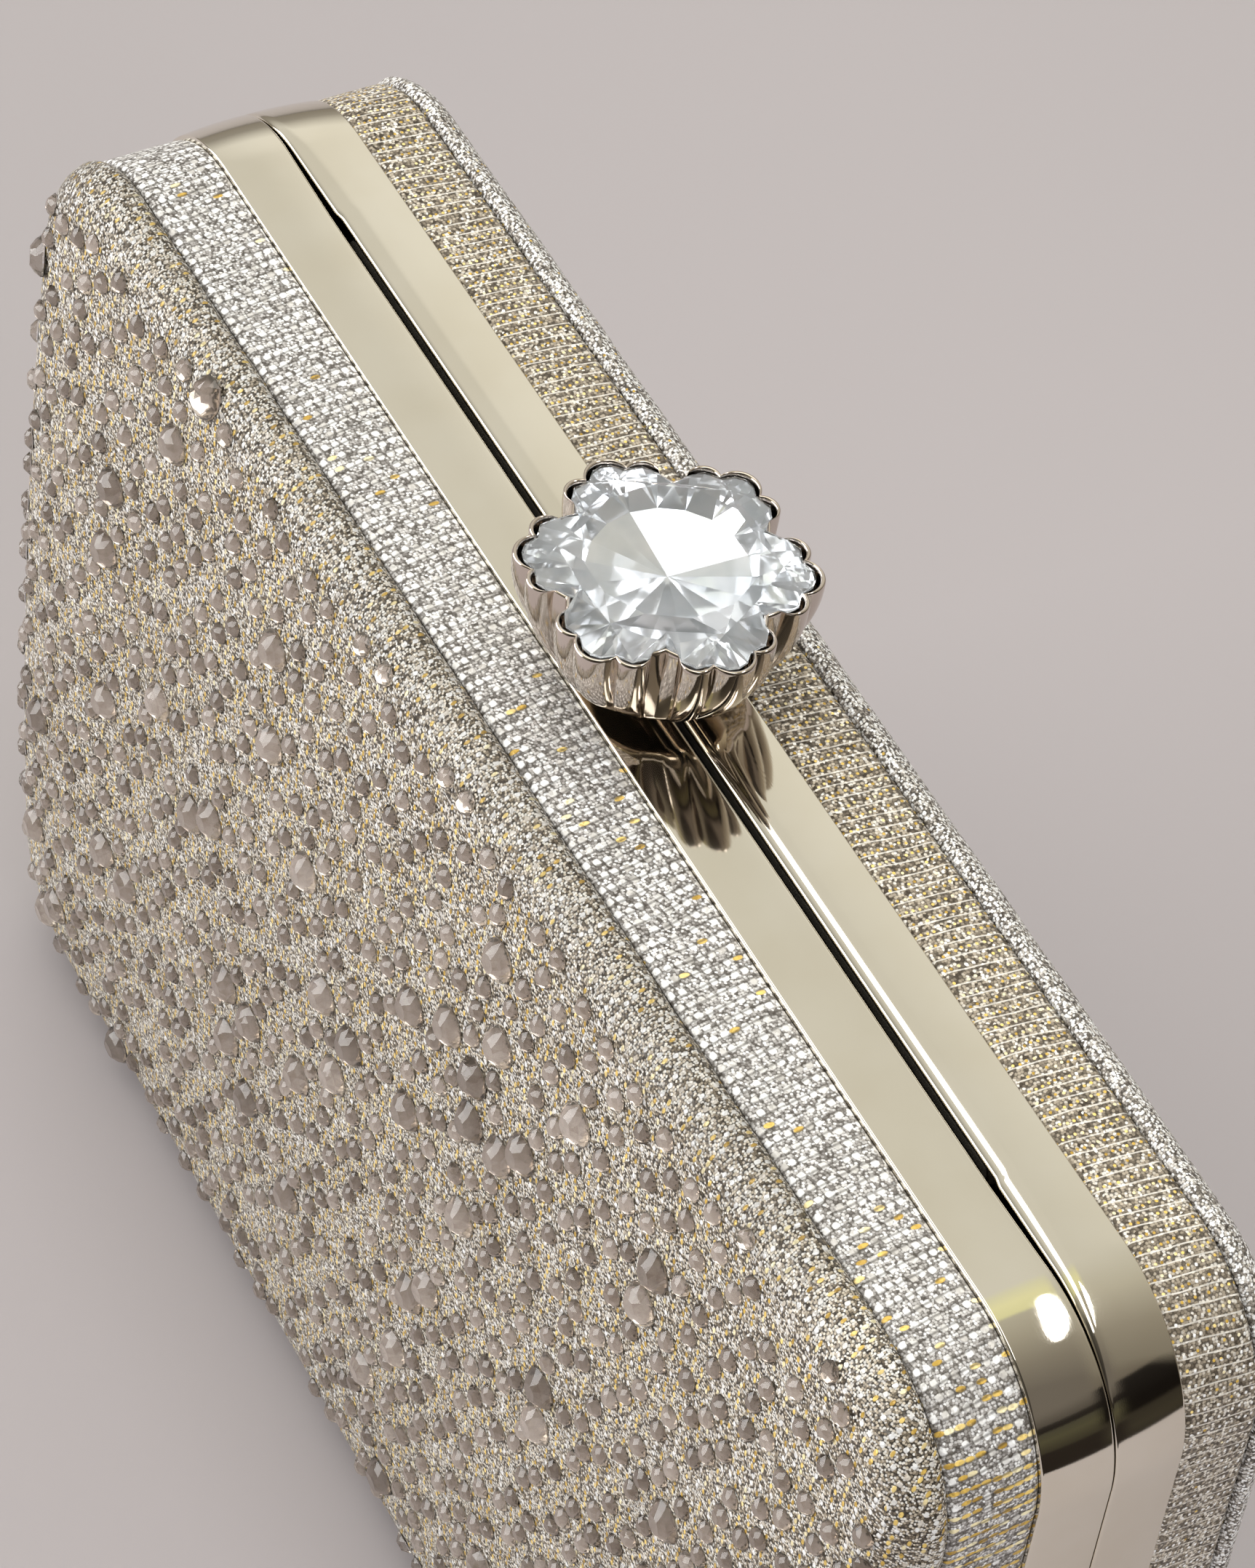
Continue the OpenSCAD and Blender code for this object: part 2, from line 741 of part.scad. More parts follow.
module front_hinge_leaf() {
    color("#cfc6aa") front_half_space() hinge_leaf(0);
}

module rear_hinge_leaf() {
    color("#cfc6aa") rear_half_space() hinge_leaf(1);
}

module front_hinge_rivets() {
    color("#a09c92") front_half_space() hinge_leaf_rivets();
}

module rear_hinge_rivets() {
    color("#a09c92") rear_half_space() hinge_leaf_rivets();
}

module hinge_pin() {
    color("#b9b6ae") translate([-hinge_len / 2, parting_y, hinge_z]) rotate([0, 90, 0])
        cylinder(r = hinge_pin_r, h = hinge_len);
}

// Flanged bush that guides the stem through the rear web
module clasp_bush() {
    color("#cfc6aa") rear_half_space() translate([0, top(-bush_stand), stem_y]) rotate([90, 0, 0])
        difference() {
            cylinder(r = bush_r, h = bush_n + bush_stand);
            translate([0, 0, -overrun]) cylinder(r = stem_r + running, h = bush_n + bush_stand + 2 * overrun);
        }
}

// Open bracket under the rear web that carries the latch pivot and the spring
module clasp_bracket() {
    wide = 2 * (bracket_in + bracket_t);
    floor_front = stem_y - spring_r - arm_gap;
    color("#b9b6ae") rear_half_space() difference() {
        union() {
            for (sx = [-1, 1]) {
                translate([sx * (bracket_in + bracket_t / 2) - bracket_t / 2, 0, 0]) rotate([90, 0, 90])
                    linear_extrude(bracket_t) polygon([
                        [top(web_t), bracket_front], [top(web_t), bracket_web_end],
                        [top(bracket_step_n), bracket_web_end], [top(bracket_step_n), bracket_back],
                        [top(bracket_floor_n + bracket_t), bracket_back],
                        [top(bracket_floor_n + bracket_t), bracket_front]
                    ]);
                translate([sx > 0 ? bracket_in : -bracket_in - bracket_t - bracket_ear,
                    top(web_t + bracket_t), bracket_front])
                    cube([bracket_t + bracket_ear, bracket_t, bracket_web_end - bracket_front]);
            }
            translate([-wide / 2, top(bracket_floor_n + bracket_t), floor_front])
                cube([wide, bracket_t, bracket_back - floor_front]);
        }
        translate([-wide, top(pivot_n), pivot_y]) rotate([0, 90, 0]) cylinder(r = pivot_r, h = 2 * wide);
        web_rivet_holes_through(bracket_rivets(), bracket_t);
    }
}

module clasp_rivets() {
    color("#a09c92") rear_half_space() web_rivets(bracket_rivets(), bracket_t);
}

module latch_pivot_pin() {
    reach = bracket_in + bracket_t + rivet_head_t;
    color("#a09c92") rear_half_space() translate([-reach, top(pivot_n), pivot_y]) rotate([0, 90, 0])
        cylinder(r = pivot_r, h = 2 * reach);
}

// Helix tube between the bracket's floor and the latch arm
function spring_point(s) =
    let(a = 360 * spring_turns * s, r = spring_r - spring_wire_r)
    [r * cos(a), r * sin(a), spring_wire_r + (spring_length() - 2 * spring_wire_r) * s];
module return_spring() {
    steps = ceil(spring_turns * spring_ring_steps);
    rings = [for (k = [0:steps])
        let(
            s = k / steps,
            a = 360 * spring_turns * s,
            out = [cos(a), sin(a), 0],
            rise = (spring_length() - 2 * spring_wire_r) / (2 * PI * spring_turns * (spring_r - spring_wire_r)),
            along = unit([-sin(a), cos(a), rise]),
            up = cross(along, out)
        )
        [for (i = [0:spring_sides - 1])
            let(b = 360 * i / spring_sides)
            spring_point(s) + spring_wire_r * (cos(b) * out + sin(b) * up)]];
    n = spring_sides;
    points = [for (ring = rings) for (p = ring) p];
    walls = [for (j = [0:steps - 1]) for (i = [0:n - 1]) for (half = [0, 1])
        let(a = j * n + i, b = j * n + (i + 1) % n)
        half == 0 ? [a, a + n, b] : [b, a + n, b + n]];
    foot = [[for (i = [0:n - 1]) i]];
    head = [[for (i = [n - 1:-1:0]) steps * n + i]];
    color("#c8c8c4") translate([0, parting_y + stem_y, top(bracket_floor_n - arm_gap)])
        polyhedron(points, concat(foot, walls, head));
}

// Lever with a boss on the pivot and a nose that rises behind the catch lip
module latch_hook() {
    nose_back = -(lip_y + lip_t + hook_gap);
    nose_front = nose_back - nose_t;
    color("#b9b6ae") rear_half_space() difference() {
        union() {
            translate([-arm_w / 2, 0, 0]) rotate([90, 0, 90]) linear_extrude(arm_w) polygon([
                [top(arm_n), pivot_y], [top(arm_n), nose_back], [top(nose_n), nose_back],
                [top(nose_n), nose_back - nose_t * nose_flat_share], [top(arm_n), nose_front],
                [top(arm_n + arm_t), nose_front], [top(arm_n + arm_t), pivot_y]
            ]);
            translate([-bracket_in + arm_gap, top(pivot_n), pivot_y]) rotate([0, 90, 0])
                cylinder(r = pivot_boss_r, h = 2 * (bracket_in - arm_gap));
        }
        translate([-bracket_in - overrun, top(pivot_n), pivot_y]) rotate([0, 90, 0])
            cylinder(r = pivot_r + running, h = 2 * (bracket_in + overrun));
    }
}

// Stem with a domed tip on the latch arm and a foot against the bezel
module clasp_stem() {
    color("#cfc6aa") rear_half_space() translate([0, body_h, stem_y]) rotate([90, 0, 0]) {
        translate([0, 0, -button_gap]) cylinder(r = stem_r, h = button_gap + stem_tip_n - stem_tip_r);
        translate([0, 0, stem_tip_n - stem_tip_r]) sphere(stem_tip_r);
    }
}

// Ring on the stem under the bush, which stops the clasp on its way up
module stem_clip() {
    color("#a09c92") rear_half_space() translate([0, top(bush_n + fit), stem_y]) rotate([90, 0, 0])
        difference() {
            cylinder(r = clip_r, h = clip_t);
            translate([0, 0, -overrun]) cylinder(r = stem_r, h = clip_t + 2 * overrun);
        }
}

// Reach of a circle seen from the flower's middle, or 0 where the ray misses it
function reach_of(c, r, a) =
    let(s = r * r - pow(c * sin(a), 2))
    s < 0 || cos(a) < 0 ? 0 : c * cos(a) + sqrt(s);

// Outline of the flower: each petal is a body circle, a tip scallop and two side scallops
petal_body_c = petal_r * petal_body_share;
petal_body_r = norm([notch_r * cos(180 / petals) - petal_body_c, notch_r * sin(180 / petals)]);
tip_scallop_c = petal_r * tip_scallop_share;
side_scallop_c = petal_r * side_scallop_share;
side_scallop_r = petal_r * side_scallop_r_share;
function petal_at(a) = max(
    reach_of(petal_body_c, petal_body_r, a),
    reach_of(tip_scallop_c, petal_r - tip_scallop_c, a),
    reach_of(side_scallop_c, side_scallop_r, a - side_scallop_angle),
    reach_of(side_scallop_c, side_scallop_r, a + side_scallop_angle)
);
function flower_r(a) =
    let(sector = 360 / petals, b = a - sector * round(a / sector))
    petal_at(b);

// Angles round the flower, closer together where the scallops meet
function flower_angles(shares) =
    [for (k = [0:petals - 1]) for (share = concat([for (i = [len(shares) - 2:-1:1]) -shares[i]], shares))
        (360 * k + 180 * share) / petals];

// Ring of the flower's outline at a height, set in by an inset and blended towards the round base
function flower_ring(shares, inset, blend, z) =
    [for (a = flower_angles(shares))
        let(r = bezel_base_r + (flower_r(a) - bezel_base_r) * blend - inset)
        [r * cos(a), r * sin(a), z]];
function flare(t) = 1 - pow(1 - t, flare_power);

// Cast cup with a fluted wall, a rim and a floor that carries the crystal
module flower_bezel() {
    seat_share = 1 - seat_drop / bezel_h;
    outer = [for (t = bezel_profile_shares) flower_ring(petal_angle_shares, 0, flare(t), bezel_h * t)];
    lip = flower_ring(petal_angle_shares, bezel_t, 1, bezel_h);
    seat = flower_ring(petal_angle_shares, bezel_t, flare(seat_share), bezel_h * seat_share);
    color("#d5c6b4") on_the_stem()
        ringed_solid(concat(outer, [lip, seat]), [0, 0, 0], [0, 0, bezel_h - seat_drop]);
}

module on_the_stem() {
    translate([0, parting_y + flower_y, body_h + button_gap]) children();
}

// Silvered seat under the crystal
module crystal_seat() {
    low = bezel_h - seat_drop + fit;
    high = bezel_h - rim_t - crystal_gap - fit;
    inset = bezel_t + crystal_gap + rim_t;
    foot = flower_ring(petal_angle_shares, inset + crystal_gap, seat_foot_share, low);
    head = flower_ring(petal_angle_shares, inset, seat_head_share, high);
    color("#e8e8ec") on_the_stem() ringed_solid([foot, head], [0, 0, low], [0, 0, high]);
}

// Cut crystal: a lobed girdle, a crown that rises to star points, and a flat six-sided table
module flower_crystal() {
    inset = bezel_t + crystal_gap;
    low = bezel_h - rim_t - crystal_gap;
    angles = flower_angles(petal_angle_shares);
    n = len(angles);
    m = 2 * petals;
    girdle = flower_ring(petal_angle_shares, inset, 1, low);
    edge = flower_ring(petal_angle_shares, inset, 1, low + rim_t);
    stars = [for (k = [0:m - 1])
        let(a = 180 * k / petals, r = (k % 2 == 0 ? petal_r : notch_r) * star_share - inset)
        [r * cos(a), r * sin(a), low + rim_t + crystal_crown * star_height_share]];
    table = [for (k = [0:petals - 1])
        let(a = 360 * (k + 0.5) / petals, r = petal_r * table_share)
        [r * cos(a), r * sin(a), low + rim_t + crystal_crown]];
    // Star point that the facet over each stretch of the girdle rises to
    apex = [for (i = [0:n - 1])
        let(next = i == n - 1 ? angles[0] + 360 : angles[i + 1])
        (round((angles[i] + next) / 2 * petals / 180) + m) % m];
    s0 = 2 * n;
    t0 = s0 + m;
    sole = [for (i = [0:n - 1]) [t0 + petals, i, (i + 1) % n]];
    side = [for (i = [0:n - 1]) for (half = [0, 1])
        let(b = (i + 1) % n)
        half == 0 ? [i, i + n, b] : [b, i + n, b + n]];
    crown = [for (i = [0:n - 1]) [n + i, s0 + apex[i], n + (i + 1) % n]];
    joins = [for (i = [0:n - 1])
        let(last = apex[(i + n - 1) % n])
        if (last != apex[i]) [n + i, s0 + last, s0 + apex[i]]];
    kites = [for (k = [0:petals - 1]) for (facet = [
        [s0 + 2 * k, t0 + k, s0 + 2 * k + 1],
        [s0 + 2 * k + 1, t0 + k, s0 + (2 * k + 2) % m],
        [s0 + (2 * k + 2) % m, t0 + k, t0 + (k + 1) % petals]
    ]) facet];
    head = [[for (k = [petals - 1:-1:0]) t0 + k]];
    points = concat(girdle, edge, stars, table, [[0, 0, low]]);
    color("#dfe3e8") on_the_stem() polyhedron(points, concat(sole, side, crown, joins, kites, head));
}

front_shell();
front_frame();
front_side_wrap();
front_panel_board();
front_panel();
front_lining_wall();
front_lining_board();
large_crystals();
small_crystals();
edge_felt();
catch_plate();
catch_rivets();
front_hinge_leaf();
front_hinge_rivets();
hinge_pin();
rear_shell();
rear_frame();
rear_side_wrap();
rear_panel_board();
rear_panel();
rear_lining_wall();
rear_lining_board();
slip_pocket();
rear_hinge_leaf();
rear_hinge_rivets();
clasp_bush();
clasp_bracket();
clasp_rivets();
latch_pivot_pin();
return_spring();
latch_hook();
clasp_stem();
stem_clip();
flower_bezel();
crystal_seat();
flower_crystal();
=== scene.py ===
"""Looks of the box clutch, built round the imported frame. Lengths here are millimetres, and meshes are metres."""

import bpy
import numpy as np
from mathutils import Matrix, Vector


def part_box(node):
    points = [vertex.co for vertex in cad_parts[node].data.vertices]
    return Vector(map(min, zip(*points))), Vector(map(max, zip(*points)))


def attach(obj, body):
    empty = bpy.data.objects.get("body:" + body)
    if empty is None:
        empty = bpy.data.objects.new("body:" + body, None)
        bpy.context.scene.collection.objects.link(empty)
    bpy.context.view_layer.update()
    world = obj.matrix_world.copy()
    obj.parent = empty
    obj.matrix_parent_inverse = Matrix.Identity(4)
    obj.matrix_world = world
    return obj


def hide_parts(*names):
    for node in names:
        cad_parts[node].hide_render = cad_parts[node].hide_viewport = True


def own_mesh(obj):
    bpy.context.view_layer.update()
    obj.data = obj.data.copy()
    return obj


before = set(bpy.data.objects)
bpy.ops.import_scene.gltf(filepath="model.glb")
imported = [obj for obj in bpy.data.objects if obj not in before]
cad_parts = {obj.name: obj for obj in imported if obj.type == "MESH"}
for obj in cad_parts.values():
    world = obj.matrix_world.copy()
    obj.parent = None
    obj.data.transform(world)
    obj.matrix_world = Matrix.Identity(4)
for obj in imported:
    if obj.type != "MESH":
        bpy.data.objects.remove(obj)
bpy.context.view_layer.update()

# Sizes of the case, as in the part's source
HALF_W, HEIGHT, CORNER = 89.0, 121.0, 14.7
PARTING_Y = 2.726
FRONT, REAR = -1, 1
FRAME_W = {FRONT: 7.2, REAR: 7.4}
DEPTH = {FRONT: 16.0, REAR: 15.0}
EDGE_T = {FRONT: 4.5, REAR: 3.2}
CROWN = {FRONT: 3.4, REAR: 1.6}
LEAN = {FRONT: 0.31, REAR: 0.5}
TRAY_FLOOR = {FRONT: 13.7, REAR: 12.7}
FIT = 0.05
CLOTH_N, WEB_N = 0.9, 1.5
LINING_N, INSIDE_N = 3.2, 4.0
PANEL_INSET = 0.3
BOARD_INSET = 8.9
HINGE_Z, KNUCKLE_ROOM_R, HINGE_HALF = 2.6, 1.95, 73.5
SLOT_HALF, HAIRLINE_HALF = 0.475, 0.06
SLOT_RUN, SLOT_END = 64.5, 84.6
FLANGE_N, FLANGE_D, FLANGE_D_AT_HINGE = 5.0, 1.26, 2.0
MIDDLE_Z = HEIGHT / 2

# The outline's straight and round stretches
TOP_RUN = HALF_W - CORNER
SIDE_RUN = HEIGHT - 2 * CORNER
ARC = np.pi / 2 * CORNER
HALF_ROUND = 2 * TOP_RUN + SIDE_RUN + 2 * ARC


# Shapes

def round_the_case(s):
    """Point and inward normal on the frames' outer line at arc length s from the middle of the top, growing towards
    +X: straights joined by quarter circles of the corner radius, and the left half a mirror of the right."""
    a, side = np.abs(s), np.where(s < 0, -1.0, 1.0)
    low_corner = TOP_RUN + ARC + SIDE_RUN
    turn = (np.clip(a - TOP_RUN, 0, ARC) + np.clip(a - low_corner, 0, ARC)) / CORNER
    x = np.minimum(a, TOP_RUN) - np.clip(a - low_corner - ARC, 0, TOP_RUN) + CORNER * np.sin(turn)
    z = HEIGHT - CORNER - np.clip(a - TOP_RUN - ARC, 0, SIDE_RUN) + CORNER * np.cos(turn)
    return x * side, z, -np.sin(turn) * side, -np.cos(turn)


def stations(straight, corner):
    """Arc lengths round the case, with one step on the straights and another in the corners."""
    knots = [0, TOP_RUN, TOP_RUN + ARC, TOP_RUN + ARC + SIDE_RUN, HALF_ROUND - TOP_RUN, HALF_ROUND]
    steps = [straight, corner, straight, corner, straight]
    half = np.concatenate([np.linspace(a, b, int(np.ceil((b - a) / h)), endpoint=False)
                           for a, b, h in zip(knots, knots[1:], steps)] + [[HALF_ROUND]])
    return np.concatenate([-half[-2:0:-1], half])


def placed(s, n, d, side):
    """Points in metres at arc length s, distance n in from the outer line and depth d from the parting plane."""
    x, z, nx, nz = round_the_case(s)
    return np.stack(np.broadcast_arrays(x + n * nx, PARTING_Y + side * d, z + n * nz), -1) / 1000


def ease(t):
    """Smooth step from 0 at t = 0 to 1 at t = 1."""
    t = np.clip(t, 0, 1)
    return t * t * (3 - 2 * t)


def add_mesh(name, points, faces, corner_uv=None, face_values=None, point_values=None, sharp=None):
    """Mesh object from points in metres and faces, given as arrays that have a row of three or four corners for each
    face. A closed mesh whose signed volume is negative is turned round."""
    points = points.reshape(-1, 3)
    sizes = np.repeat([part.shape[1] for part in faces], [len(part) for part in faces])
    loops = np.concatenate([part.ravel() for part in faces])
    starts = np.cumsum(sizes) - sizes
    # One corner of each face is enough for the volume's sign
    first, second, third = (points[loops[starts + k]] for k in range(3))
    if (first * np.cross(second, third)).sum() < 0:
        turned = np.repeat(2 * starts + sizes - 1, sizes) - np.arange(len(loops))
        loops = loops[turned]
        corner_uv = corner_uv[turned] if corner_uv is not None else None
    mesh = bpy.data.meshes.new(name)
    mesh.vertices.add(len(points))
    mesh.loops.add(len(loops))
    mesh.polygons.add(len(sizes))
    mesh.vertices.foreach_set("co", points.astype(np.float32).ravel())
    mesh.loops.foreach_set("vertex_index", loops.astype(np.int32))
    mesh.polygons.foreach_set("loop_start", starts.astype(np.int32))
    mesh.polygons.foreach_set("use_smooth", np.full(len(sizes), sharp is None or sharp > 0))
    mesh.update(calc_edges=True)
    mesh.validate()
    if corner_uv is not None:
        mesh.uv_layers.new(name="weave").data.foreach_set("uv", corner_uv.astype(np.float32).ravel())
    for kind, values in (("FACE", face_values), ("POINT", point_values)):
        for key, value in (values or {}).items():
            mesh.attributes.new(key, "FLOAT", kind).data.foreach_set("value", np.asarray(value, np.float32).ravel())
    if sharp:
        mesh.set_sharp_from_angle(angle=np.radians(sharp))
    made = bpy.data.objects.new(name, mesh)
    bpy.context.scene.collection.objects.link(made)
    return made


def grid_faces(rows, columns, wrap_rows, wrap_columns):
    """Quads between neighbours of a grid, and their corners' row and column, not yet wrapped, for the UV."""
    i, j = np.meshgrid(np.arange(rows - (not wrap_rows)), np.arange(columns - (not wrap_columns)), indexing="ij")
    i, j = i.ravel(), j.ravel()
    corners = [(i, j), (i, j + 1), (i + 1, j + 1), (i + 1, j)]
    faces = np.stack([(a % rows) * columns + b % columns for a, b in corners], 1)
    return faces, corners


def ring_tube(name, s, points, weave=None, values=None, sharp=None):
    """Closed band round the case: a closed section (rows) carried round the stations (columns). The weave's
    coordinates are the arc length and the way along the section."""
    rows, columns = points.shape[:2]
    faces, corners = grid_faces(rows, columns, True, True)
    uv = None
    if weave is not None:
        u = np.concatenate([s, [s[0] + 2 * HALF_ROUND]])
        v = np.vstack([weave, weave[:1]])
        v = np.hstack([v, v[:, :1]])
        uv = np.stack([np.stack([u[b], v[a, b]], 1) for a, b in corners], 1).reshape(-1, 2)
    return add_mesh(name, points, [faces], uv, None, values, sharp)


def ring_dome(name, points, foot, tip, weave=None, weave_ends=None, values=None, sharp=None):
    """Closed form of rings (rows), each joined to the next by quads, with a fan to a point at either end."""
    rows, columns = points.shape[:2]
    faces, _ = grid_faces(rows, columns, False, True)
    j = np.arange(columns)
    low, high = rows * columns, rows * columns + 1
    last = (rows - 1) * columns
    fan_low = np.stack([np.full(columns, low), (j + 1) % columns, j], 1)
    fan_high = np.stack([np.full(columns, high), last + j, last + (j + 1) % columns], 1)
    uv = None
    if weave is not None:
        flat = np.vstack([weave.reshape(-1, 2), weave_ends])
        uv = flat[np.concatenate([faces.ravel(), fan_low.ravel(), fan_high.ravel()])]
    full = {k: np.concatenate([v.ravel(), [v[0, 0], v[-1, 0]]]) for k, v in (values or {}).items()}
    every_point = np.vstack([points.reshape(-1, 3), [foot, tip]])
    return add_mesh(name, every_point, [faces, fan_low, fan_high], uv, None, full, sharp)


# Materials

def linear(code):
    """Linear colour of an sRGB hex code."""
    c = np.array([int(code[i:i + 2], 16) for i in (1, 3, 5)]) / 255
    return (*np.where(c <= 0.04045, c / 12.92, ((c + 0.055) / 1.055) ** 2.4), 1.0)


def live(sockets, key):
    """Socket by name or number among those that are in use."""
    sockets = [x for x in sockets if x.enabled]
    return sockets[key] if isinstance(key, int) else next(x for x in sockets if x.name == key)


def feed(node, sockets):
    """Sets a node's sockets. Each takes a value, a node for its first output, or a node and its output's name."""
    for key, value in sockets.items():
        if isinstance(value, bpy.types.Node):
            value = value, 0
        if isinstance(value, tuple) and isinstance(value[0], bpy.types.Node):
            node.id_data.links.new(live(value[0].outputs, value[1]), live(node.inputs, key))
        else:
            live(node.inputs, key).default_value = value


def add(tree, kind, sockets=None, stops=None, **settings):
    """Node of a kind with its settings and links. A colour ramp's stops are a place and a hex code each."""
    made = tree.nodes.new("ShaderNode" + kind)
    for key, value in settings.items():
        setattr(made, key, value)
    if stops:
        band = made.color_ramp.elements
        while len(band) < len(stops):
            band.new(0.5)
        for element, (place, code) in zip(band, stops):
            element.position, element.color = place, linear(code)
    feed(made, sockets or {})
    return made


def material(name, **uniform):
    """Material with a Principled shader, whose uniform values are set on its own sockets."""
    made = bpy.data.materials.new(name)
    made.use_nodes = True
    shader = made.node_tree.nodes["Principled BSDF"]
    feed(shader, {key.replace("_", " "): value for key, value in uniform.items()})
    return made, made.node_tree, shader


# On Object coordinates a noise's scale is how many of its spots fit in a metre

def plated(name, code, dull_code, roughness, grain):
    """Brass, polished and plated: a mirror with a faint warm cloudiness, hair scratches and soft smears."""
    made, tree, shader = material(name, Metallic=1.0)
    place = add(tree, "TexCoord"), "Object"
    cloud = add(tree, "TexNoise", {"Vector": place, "Scale": 90.0, "Detail": 3.0})
    smear = add(tree, "TexNoise", {"Vector": place, "Scale": 45.0, "Detail": 4.0, "Roughness": 0.6})
    # Scratches of about 0.03 mm are drawn 0.1 mm wide, because finer ones don't show
    along = add(tree, "Mapping", {"Vector": place, "Scale": (60.0, 9000.0, 9000.0), "Rotation": (0.3, 0.2, 0.1)})
    hairs = add(tree, "TexNoise", {"Vector": along, "Scale": 1.0, "Detail": 2.0})
    feed(shader, {
        "Base Color": add(tree, "ValToRGB", {"Fac": cloud}, [(0.35, dull_code), (0.65, code)]),
        "Roughness": add(tree, "MapRange", {"Value": smear, "From Min": 0.4, "From Max": 0.75,
                                            "To Min": roughness, "To Max": roughness * 2.2}),
        "Normal": add(tree, "Bump", {"Height": hairs, "Strength": grain, "Distance": 0.00002})})
    return made


def lurex(name, stitch, blob, fine, thread, tones, shine):
    """Knit of silver and gold metal yarn: a fine ground of loops with dark outlines, each with its own tone, under
    columns of bigger stitches that are silver or gold, with a dark furrow and a thin white thread between them. The
    palest tones are painted glints of the metal yarn. Sizes are millimetres on the cloth: stitch is the columns' pitch
    and the pitch along them, blob a stitch's half axes, fine a ground loop. Thread is how white the thread is, and
    shine the share of bare metal. The cloth's gold value is the share of gold stitches, and a darkening value paints
    shade, with dust, into the colour."""
    made, tree, shader = material(name, Metallic=shine, Roughness=0.34)
    cloth = add(tree, "UVMap", uv_map="weave")
    sway = add(tree, "TexNoise", {"Vector": cloth, "Scale": 0.13, "Detail": 2.0}, noise_dimensions="2D")
    off = add(tree, "VectorMath", {0: (sway, "Color"), 1: (0.5, 0.5, 0.5)}, operation="SUBTRACT")
    swayed = add(tree, "VectorMath", {0: off, 1: (0.7, 0.7, 0), 2: cloth}, operation="MULTIPLY_ADD")
    # Ground loops
    fine_at = add(tree, "VectorMath", {0: swayed, 1: (1 / fine, 1 / fine, 1)}, operation="MULTIPLY")
    grains = add(tree, "TexVoronoi", {"Vector": fine_at, "Scale": 1.0, "Randomness": 0.85}, voronoi_dimensions="2D")
    grain_colour = add(tree, "SeparateColor", {"Color": (grains, "Color")})
    grain_tone = add(tree, "ValToRGB", {"Fac": (grain_colour, "Red")}, tones["ground"])
    outline = add(tree, "MapRange", {"Value": (grains, "Distance"), "From Min": 0.4, "From Max": 0.62,
                                     "To Min": 0.0, "To Max": tones["outline"]})
    ground = add(tree, "Mix", {"Factor": outline, "A": grain_tone, "B": linear(tones["gap"])}, data_type="RGBA")
    # Stitches on their lattice: each its own colour, place and turn
    stitch_at = add(tree, "VectorMath", {0: swayed, 1: (1 / stitch[0], 1 / stitch[1], 1)}, operation="MULTIPLY")
    lattice = add(tree, "TexVoronoi", {"Vector": stitch_at, "Scale": 1.0, "Randomness": tones["loose"]},
                  voronoi_dimensions="2D")
    own = add(tree, "SeparateColor", {"Color": (lattice, "Color")})
    place = add(tree, "VectorMath", {0: stitch_at, 1: (lattice, "Position")}, operation="SUBTRACT")
    # A silver stitch is half way between an ellipse and a box, and a gold one is a slim ellipse
    turned = add(tree, "Mapping", {"Vector": place, "Rotation": (0, 0, 0.3),
                                   "Scale": (stitch[0] / blob[0], stitch[1] / blob[1], 0)})
    sides = add(tree, "SeparateXYZ", {"Vector": add(tree, "VectorMath", {0: turned}, operation="ABSOLUTE")})
    round_reach = add(tree, "VectorMath", {0: turned}, operation="LENGTH")
    square_reach = add(tree, "Math", {0: (sides, "X"), 1: (sides, "Y")}, operation="MAXIMUM")
    both = add(tree, "Math", {0: round_reach, 1: square_reach}, operation="ADD")
    reach = add(tree, "Math", {0: both, 1: 0.5}, operation="MULTIPLY")
    dash = add(tree, "Mapping", {"Vector": place,
                                 "Scale": (stitch[0] / tones["dash"][0], stitch[1] / tones["dash"][1], 0)})
    dash_reach = add(tree, "VectorMath", {0: dash}, operation="LENGTH")
    share = add(tree, "Attribute", attribute_name="gold")
    is_gold = add(tree, "Math", {0: (own, "Red"), 1: (share, "Fac")}, operation="LESS_THAN")
    own_reach = add(tree, "Mix", {"Factor": is_gold, "A": reach, "B": dash_reach}, data_type="FLOAT")
    body = add(tree, "MapRange", {"Value": own_reach, "From Min": 1.15, "From Max": 0.85, "To Min": 0.0, "To Max": 1.0})
    present = add(tree, "Math", {0: (own, "Blue"), 1: tones["present"]}, operation="LESS_THAN")
    raised = add(tree, "Math", {0: body, 1: present}, operation="MULTIPLY")
    silver = add(tree, "ValToRGB", {"Fac": (own, "Green")}, tones["silver"])
    gold = add(tree, "ValToRGB", {"Fac": (own, "Green")}, GOLD_YARN)
    yarn = add(tree, "Mix", {"Factor": is_gold, "A": silver, "B": gold}, data_type="RGBA")
    knit = add(tree, "Mix", {"Factor": raised, "A": ground, "B": yarn}, data_type="RGBA")
    # Furrow and white thread beside the columns, leaning a little: near is the distance from the thread in pitches
    along = add(tree, "SeparateXYZ", {"Vector": swayed})
    leant = add(tree, "Math", {0: (along, "Y"), 1: -0.12, 2: (along, "X")}, operation="MULTIPLY_ADD")
    across = add(tree, "Math", {0: leant, 1: 1 / stitch[0], 2: 0.3}, operation="MULTIPLY_ADD")
    in_pitch = add(tree, "Math", {0: across}, operation="FRACT")
    from_thread = add(tree, "Math", {0: in_pitch, 1: 0.5}, operation="SUBTRACT")
    near = add(tree, "Math", {0: from_thread}, operation="ABSOLUTE")
    spun = add(tree, "MapRange", {"Value": near, "From Min": 0.07, "From Max": 0.035, "To Min": 0.0, "To Max": thread})
    furrow = add(tree, "MapRange", {"Value": near, "From Min": 0.36, "From Max": 0.47,
                                    "To Min": 0.0, "To Max": tones["furrow"]})
    rows = add(tree, "Mix", {"Factor": furrow, "A": knit, "B": linear(tones["gap"])}, data_type="RGBA")
    threaded = add(tree, "Mix", {"Factor": spun, "A": rows, "B": linear("#EFEAE2")}, data_type="RGBA")
